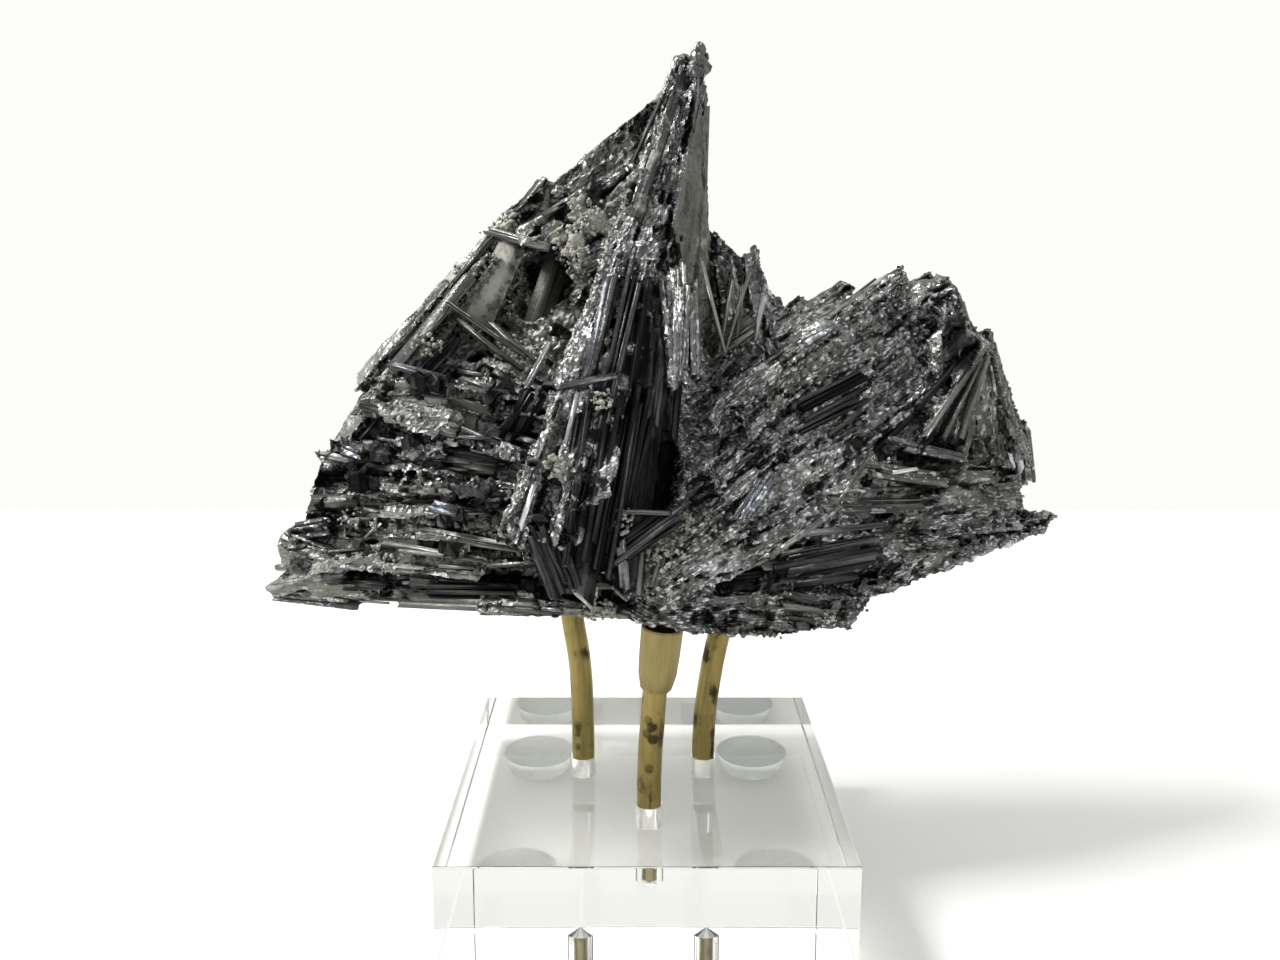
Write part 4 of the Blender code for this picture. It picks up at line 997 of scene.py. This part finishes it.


# Crystals that the photograph shows one by one: the two ends of each one's top, the way it faces,
# its width and thickness, then its tone, hue, film and grain. A tone above 0.85 paints a bright
# silver highlight. Each is a close bundle of strands, unless it is a single smooth one.
Crystal = namedtuple("Crystal", "start end facing width thick tone hue film grain single", defaults=(False,))
STRAND = 1.0
CLEARED = 5
UP_FRONT, UP_LEFT = (0, -0.8, 0.6), (-0.5, -0.7, 0.5)
CRYSTALS = {
    "spire": [
        Crystal((-12.5, -24.2, 73.5), (-6.5, -20.2, 107), (-0.1, -1, 0.1), 4.4, 3.0, 0.10, 0.1, 0, 0),
        Crystal((-8.2, -23.2, 74.5), (-2.2, -18.6, 106), (0.2, -1, 0.1), 3.6, 3.0, 0.05, 0.1, 0, 0),
        Crystal((-16.6, -24.6, 76), (-10.5, -20.6, 108), (-0.3, -1, 0.1), 3.4, 2.6, 0.16, 0.3, 0, 0),
        Crystal((-4.6, -20.8, 79), (1.0, -16.4, 108), (0.3, -1, 0.1), 3.2, 2.4, 0.05, 0.0, 0, 0),
        Crystal((-7.0, -19.6, 106), (-1.6, -12.0, 131), (-0.2, -1, 0.3), 3.0, 2.2, 0.26, 0.2, 0, 0.2),
        Crystal((-11.4, -20.0, 106), (-6.0, -11.6, 130), (-0.4, -1, 0.3), 2.4, 2.0, 0.42, 0.5, 0, 0.3),
        Crystal((-19.6, -25.4, 85), (-14.4, -24.0, 70.5), (0, -1, 0.1), 6.4, 4.0, 0.13, 0, 0.05, 0.1),
        Crystal((-15.0, -19.4, 108), (-5.0, -20.4, 110.2), (0, -1, 0.3), 1.5, 1.8, 0.2, 0, 0, 0.4, True),
        Crystal((-22.4, -26.2, 84.0), (-20.0, -25.6, 91.5), UP_LEFT, 1.0, 0.9, 1.15, 0, 0, 0),
        Crystal((-22.4, -11.2, 107.0), (-18.2, -9.2, 115), UP_LEFT, 1.4, 1.0, 1.1, 0, 0, 0),
        Crystal((-14.6, -22.2, 98.0), (-12.4, -21.0, 107), UP_LEFT, 0.9, 0.8, 0.95, 0.4, 0, 0),
        Crystal((-26.4, -12.2, 96.0), (-20.6, -10.8, 106), (-0.2, -1, 0.1), 4.4, 3.0, 0.10, 0, 0, 0),
        Crystal((-6.0, -21.8, 77.0), (6.8, -19.6, 86.0), (0.3, -0.85, 0.4), 4.6, 2.0, 0.14, 0, 0, 0),
        Crystal((-4.0, -21.0, 85.6), (4.0, -20.0, 85.0), UP_FRONT, 1.0, 0.7, 0.5, 0, 0.1, 0),
        Crystal((-3.6, -21.8, 70.0), (-4.6, -21.6, 79.5), (0.2, -1, 0.2), 1.8, 1.0, 0.45, 0, 0.3, 0.2),
        Crystal((-1.2, -21.6, 69.5), (-0.6, -21.0, 78.0), (0.4, -1, 0.2), 1.4, 1.0, 0.4, 0, 0.3, 0.2),
        Crystal((1.0, -21.2, 70.0), (3.2, -20.2, 77.5), (0.2, -1, 0.2), 1.6, 1.0, 0.4, 0, 0.3, 0.2),
        Crystal((6.2, -13.2, 126.5), (5.8, -17.2, 107.0), (-0.2, -1, 0.1), 2.9, 1.5, 0.60, 0, 0, 1.0),
        Crystal((8.6, -12.4, 125.0), (9.2, -16.4, 107.4), (0.4, -1, 0.1), 2.0, 1.5, 0.46, 0, 0, 0.8),
        Crystal((5.4, -12.6, 129.0), (6.2, -14.2, 120.0), (0, -1, 0.3), 2.6, 1.2, 0.85, 0.1, 0, 1.0),
    ],
    "wing": [
        Crystal((-32.4, -4.4, 118), (-25.0, -2.6, 133), (-0.2, -1, 0), 6.0, 1.6, 0.6, -1, 0.52, 0.4, True),
        Crystal((-22.4, -3.2, 114), (-16.2, -2.4, 131), (-0.1, -1, 0), 5.4, 1.6, 0.34, -1, 0.2, 0.4, True),
        Crystal((-37.0, -6.0, 122), (-22.4, -10.0, 112.6), UP_FRONT, 1.2, 1.2, 0.38, -0.3, 0.1, 0.4),
        Crystal((-36.0, -5.2, 119.6), (-23.0, -10.2, 110), UP_FRONT, 1.2, 1.2, 0.34, -0.4, 0.1, 0.4),
        Crystal((-29.0, -6.8, 118.4), (-20.6, -9.2, 111.5), UP_FRONT, 1.0, 0.9, 0.55, -0.3, 0, 0.1),
        Crystal((-38.2, -3.4, 124.0), (-29.4, -2.0, 134), (-0.5, -0.8, 0.4), 1.6, 1.3, 0.5, -0.4, 0, 0.1),
        Crystal((-30.0, -1.6, 135.2), (-17.4, -6.4, 132.4), UP_FRONT, 1.6, 1.2, 0.6, -0.4, 0.05, 0.1),
    ],
    "beds": [
        Crystal((-45.4, -10.4, 108.4), (-35.0, -11.0, 105.6), UP_FRONT, 2.2, 1.8, 0.34, 0.8, 0, 0.2),
        Crystal((-47.0, -10.6, 111.0), (-37.0, -10.2, 108.4), UP_FRONT, 1.4, 1.2, 0.4, 0.5, 0, 0.2),
        Crystal((-40.6, -16.4, 86.0), (-34.8, -17.4, 84.8), UP_FRONT, 1.8, 1.4, 0.5, 1.1, 0, 0.1),
        Crystal((-49.0, -13.8, 66.2), (-20.4, -18.8, 66.4), (0, -1, 0.1), 2.4, 2.2, 0.50, -0.5, 0, 0),
        Crystal((-41.0, -14.6, 69.4), (-22.0, -17.6, 69.8), (0, -0.9, 0.4), 2.6, 2.0, 0.10, 0, 0, 0),
        Crystal((-72.4, -6.2, 66.6), (-59, -9.4, 70.6), (-0.1, -1, 0.3), 2.6, 2.8, 0.5, -0.8, 0.1, 0.6, True),
        Crystal((-73.4, -5.6, 65.2), (-55.0, -9.8, 64.6), (0, -1, -0.1), 3.6, 3.4, 0.48, -0.6, 0.1, 0.5),
        Crystal((-72.6, -5.4, 69.6), (-62.0, -8.0, 71.6), (-0.2, -1, 0.2), 4.4, 4.4, 0.44, -0.4, 0.1, 0.6),
        Crystal((-70.6, -5.0, 74.8), (-61.5, -7.4, 72.8), (-0.3, -1, 0.2), 4.4, 4.4, 0.38, -0.3, 0.1, 0.6),
        Crystal((-69.2, -4.6, 77.6), (-61.0, -7.0, 79.2), (-0.1, -1, 0.3), 3.4, 4.0, 0.34, -0.2, 0.1, 0.6),
        Crystal((-49.0, -9.6, 96.0), (-31.0, -11.8, 93.4), UP_FRONT, 2.6, 2.2, 0.15, 0, 0.1, 0.3),
        Crystal((-44.0, -12.6, 80.0), (-22.0, -18.6, 78.0), UP_FRONT, 1.8, 1.2, 0.55, -0.4, 0.2, 0.1),
        Crystal((-50.0, -12.0, 76.8), (-27.0, -17.0, 75.0), UP_FRONT, 1.5, 1.0, 0.6, -0.4, 0.2, 0.1),
        Crystal((-58.0, -8.2, 94.8), (-54.6, -8.4, 93.6), UP_LEFT, 1.6, 1.2, 0.8, 0.5, 0, 1),
        Crystal((-60.6, -7.6, 93.4), (-56.0, -8.0, 92.2), UP_LEFT, 1.4, 1.0, 0.7, 0.5, 0, 1),
    ],
    "right": [
        Crystal((26.4, -9.8, 101.6), (41.6, -5.0, 108.4), (0.2, -1, 0.1), 2.6, 2.0, 0.10, 0.1, 0, 0),
        Crystal((28.4, -10.2, 98.8), (42.6, -5.4, 105.0), (0.2, -1, 0.3), 2.8, 2.0, 0.14, 0.2, 0, 0),
        Crystal((11.6, -5.0, 113.0), (20.0, -3.6, 119.0), (-0.2, -1, 0.5), 4.8, 2.2, 0.44, -0.7, 0.05, 0.2),
        Crystal((23.0, -17.6, 76.4), (36.4, -13.8, 85.0), UP_FRONT, 1.3, 1.2, 0.45, -0.4, 0, 0.8),
        Crystal((35.4, -13.4, 84.6), (42.4, -9.8, 94.4), UP_FRONT, 1.0, 1.0, 0.38, -0.3, 0, 0.7),
        Crystal((17.0, -15.6, 82.6), (23.0, -13.2, 91.0), (-0.3, -0.9, 0.4), 3.0, 1.0, 0.8, 0.8, 0, 1.0),
        Crystal((29.6, -4.2, 115.2), (36.0, -1.6, 118.4), (-0.3, -0.8, 0.6), 3.4, 1.2, 0.8, 0.2, 0, 1.0),
        Crystal((10.0, -8.4, 100.4), (21.4, -8.0, 108.0), UP_FRONT, 1.2, 1.0, 0.55, 0, 0, 0.2),
    ],
    "shoulder": [
        Crystal((10.4, -4.6, 129.5), (14.8, -7.0, 112.6), (0.2, -1, 0.1), 0.8, 0.8, 0.8, -0.4, 0, 0),
        Crystal((19.6, -1.4, 127.4), (14.6, -6.4, 112.0), (0, -1, 0.1), 0.7, 0.7, 0.6, -0.5, 0, 0),
        Crystal((16.2, -2.6, 126.0), (13.6, -6.2, 112.6), (-0.2, -1, 0.1), 0.9, 0.8, 0.7, -0.4, 0, 0),
        Crystal((22.4, -0.6, 123.0), (20.6, -3.0, 114.4), (0, -1, 0.1), 1.2, 1.0, 0.9, -0.1, 0, 0.2),
        Crystal((18.2, -2.2, 124.6), (17.2, -4.8, 113.6), (0.2, -1, 0.1), 1.0, 0.8, 0.45, -0.5, 0, 0),
    ],
    "fan": [
        Crystal((65.6, 3.2, 111.4), (53.4, -4.8, 96), (-0.2, -1, 0.1), 1.5, 2.0, 0.5, -0.3, 0.1, 0.5, True),
        Crystal((66.0, 3.2, 110.6), (57.4, -3.4, 95.6), (-0.2, -1, 0.1), 1.3, 2.0, 0.42, -0.3, 0, 0.5, True),
        Crystal((66.8, 3.4, 111), (61.6, -1.2, 95.2), (-0.1, -1, 0.1), 2.2, 2.2, 0.52, -0.5, 0.1, 0.5, True),
        Crystal((46.5, -6.5, 95.6), (63.5, -2.0, 91.4), (0.2, -1, 0.4), 1.8, 1.6, 0.36, -0.2, 0.05, 0.8),
        Crystal((42.6, -9.6, 91.0), (58.0, -5.2, 88.4), (0.2, -0.9, 0.5), 2.6, 1.8, 0.42, -0.6, 0, 0.8),
        Crystal((33.0, -13.0, 87.4), (50.0, -7.6, 87.0), UP_FRONT, 1.2, 1.0, 0.48, -0.3, 0, 0.8),
        Crystal((33.6, -13.6, 84.0), (47.4, -9.0, 83.2), UP_FRONT, 1.4, 1.2, 0.42, -0.3, 0, 0.8),
        Crystal((75.0, 6.8, 93.0), (76.6, 7.6, 87.4), (0, -1, 0.2), 2.2, 1.8, 1.0, -0.2, 0, 0.6, True),
        Crystal((76.6, 10.0, 98.0), (80.4, 11.6, 83.0), (0.5, -1, 0.1), 4.4, 5.0, 0.50, -0.4, 0.05, 0.7),
        Crystal((73.4, 5.6, 91.4), (74.6, 6.2, 88.0), (-0.3, -0.9, 0.4), 1.0, 1.0, 1.1, 0, 0, 0.4),
        Crystal((46.6, -8.8, 90.2), (51.6, -7.0, 90.6), (-0.2, -0.8, 0.6), 0.9, 0.8, 1.15, 0, 0, 0.2),
    ],
    "keel": [
        Crystal((23.6, -16.6, 74.4), (45.0, -11.6, 77.4), (0.1, -0.7, 0.7), 4.8, 3.0, 0.26, 0, 0, 0.05),
        Crystal((25.0, -17.2, 72.6), (44.0, -12.4, 74.6), (0.1, -1, 0), 3.0, 2.6, 0.12, 0.1, 0, 0),
        Crystal((27.0, -15.2, 79.6), (44.6, -10.2, 80.4), UP_FRONT, 1.4, 1.0, 0.45, 0.5, 0, 0.1),
    ],
}


def bundle(crystal):
    """The blades of one such crystal, and which points of the ground it takes."""
    start, end = np.array(crystal.start) + SHIFT, np.array(crystal.end) + SHIFT
    along, out = unit(end - start), unit(np.array(crystal.facing, float))
    side, full_length = unit(np.cross(along, out)), np.linalg.norm(end - start)
    away = ground - (start + end) / 2
    covered = np.abs(away @ along) < full_length / 2
    covered &= (np.abs(away @ side) < crystal.width / 2) & (np.abs(away @ out) < CLEARED)
    strands = 1 if crystal.single else max(1, round(crystal.width / STRAND))
    loose = 0 if strands == 1 else 1
    blades = []
    for strand in range(strands):
        across = ((strand + 0.5) / strands - 0.5) * crystal.width * side
        length = full_length * (1 - loose * rng.uniform(0, 0.3))
        slide = along * rng.uniform(-0.12, 0.12) * length * loose
        sunk = out * (crystal.thick / 2 + loose * rng.uniform(-0.1, 0.5))
        width = crystal.width / strands * (1 + loose * rng.uniform(0.0, 0.6))
        strand_along = along + rng.normal(0, 0.02, 3) * loose
        strand_tone = crystal.tone + rng.uniform(-0.12, 0.12) * loose
        strand_hue = crystal.hue + rng.normal(0, 0.15) * loose
        kind = rng.integers(*WIDE_KINDS) if crystal.width > WIDE else rng.integers(*STRAND_KINDS)
        strand_out = out + rng.normal(0, 0.15, 3) * loose
        blades.append((
            kind, (start + end) / 2 + across + slide - sunk, strand_along, strand_out,
            (width, crystal.thick, length),
            (strand_tone, strand_hue, crystal.film, crystal.grain + 0.3 * loose),
        ))
    return blades, covered


def sheaf_blades(plan, mine):
    """The blades of one sheaf, laid on the points of the ground that it rules."""
    here, normals, filled = ground[mine], outs[mine], taken[mine]
    relief = RELIEFS[plan.habit]
    blades = []
    for growth in GROWTHS[plan.habit]:
        size = sum(growth.width) / 2 * sum(growth.length) / 2
        for _ in range(int(TRIES * growth.cover * len(mine) * area_each / size) + SPARE_TRIES):
            if filled.mean() > growth.cover + COVER_SLACK:
                break
            start = rng.choice(np.flatnonzero(~filled))
            along = field.run[ruling[mine[start]]] + rng.normal(0, math.radians(growth.tilt), 3)
            along = along - normals[start] * (along @ normals[start])
            if np.linalg.norm(along) < LEAST_LEVEL:
                continue
            width, length = rng.uniform(*growth.width), rng.uniform(*growth.length)
            fit = laid(here, normals, filled, start, unit(along), width, length)
            if fit is None:
                continue
            middle, along, out, length, under = fit
            filled[under] = True
            thick = max(width * growth.flat * rng.uniform(0.8, 1.3), THINNEST)
            middle = middle + out * (rng.uniform(*growth.lift) + 0.1 - thick / 2)
            out = out + rng.normal(0, 0.12, 3)
            kind = rng.integers(*WIDE_KINDS) if width > WIDE else rng.integers(*THIN_KINDS)
            crust = druse_at(middle[None])[0] * 0.5
            look = (
                rng.uniform(*growth.tone), relief.hue + rng.normal(0, 0.3),
                max(0.0, relief.film + crust + rng.normal(0, 0.12)), relief.grain * rng.uniform(0.5, 1.1),
            )
            blades.append((kind, middle, along, out, (width, thick, length), look))
    return blades


grown = defaultdict(list)
for piece, crystals in CRYSTALS.items():
    for crystal in crystals:
        blades, covered = bundle(crystal)
        taken |= covered
        grown[piece] += blades
for number, plan in enumerate(SHEAVES.values()):
    grown[plan.piece] += sheaf_blades(plan, np.flatnonzero(field.number[ruling] == number))
for piece, blades in grown.items():
    stamp(f"crystals_{piece}", blades)

# The druse: a pale crust of small rounded grains that sits in the gaps and on some of the blades, on
# the skin that faces the front. With it are the larger crumbs of the rounded knob that ends the spire.
CRUMBS = [
    ((9.9, 4.4, 168.0), 2.3), ((9.5, 4.2, 166.4), 3.2), ((10.8, 4.8, 165.0), 2.8), ((8.8, 3.9, 164.2), 3.6),
]
CRUMB_LOOK = (0.36, -0.3, 0.1, 0.8)
GRAIN_SIZE = (0.35, 0.95)
GRAIN_SHAPES = 3
DRUSE_SPREAD = 1.4
FACES_FRONT = -0.1


def pebble():
    """A dented grain one unit across."""
    bm = bmesh.new()
    bmesh.ops.create_icosphere(bm, subdivisions=2, radius=0.5)
    shape = np.array([vert.co for vert in bm.verts]) * rng.uniform(0.78, 1.18, (len(bm.verts), 1))
    faces = np.array([[vert.index for vert in face.verts] for face in bm.faces])
    bm.free()
    return shape, np.zeros(len(shape)), faces


def pebble_kind():
    return len(PRISMS) + rng.integers(0, GRAIN_SHAPES)


def patch(middle, reach, count):
    """The grains of one patch of druse, thickest at its middle."""
    away = np.linalg.norm(ground - middle - SHIFT, axis=1)
    around = np.flatnonzero((away < reach * DRUSE_SPREAD) & (outs[:, 1] < FACES_FRONT))
    if not len(around):
        return []
    odds = np.exp(-(away[around] / reach) ** 2)
    grains = []
    for pick in rng.choice(around, count, p=odds / odds.sum()):
        size = rng.uniform(*GRAIN_SIZE) * rng.uniform(0.7, 1)
        spot = ground[pick] + outs[pick] * rng.uniform(-0.1, 0.5) + rng.normal(0, 0.2, 3)
        sizes = size * rng.uniform(0.8, 1.3, 3)
        look = (0.6, -0.3, rng.uniform(0.3, 1.1), 0.2)
        kind = pebble_kind()
        grains.append((kind, spot, unit(rng.normal(0, 1, 3)), unit(rng.normal(0, 1, 3)), sizes, look))
    return grains


def crumb(spot, size):
    kind = pebble_kind()
    return kind, np.array(spot) + SHIFT, (0, 0.1, 1), (0, 1, 0), (size, size, size * 1.3), CRUMB_LOOK


templates.extend(pebble() for _ in range(GRAIN_SHAPES))
stamp("pale_druse", [grain for plan in DRUSE for grain in patch(*plan)]).data.shade_smooth()
stamp("crumbs", [crumb(*plan) for plan in CRUMBS])
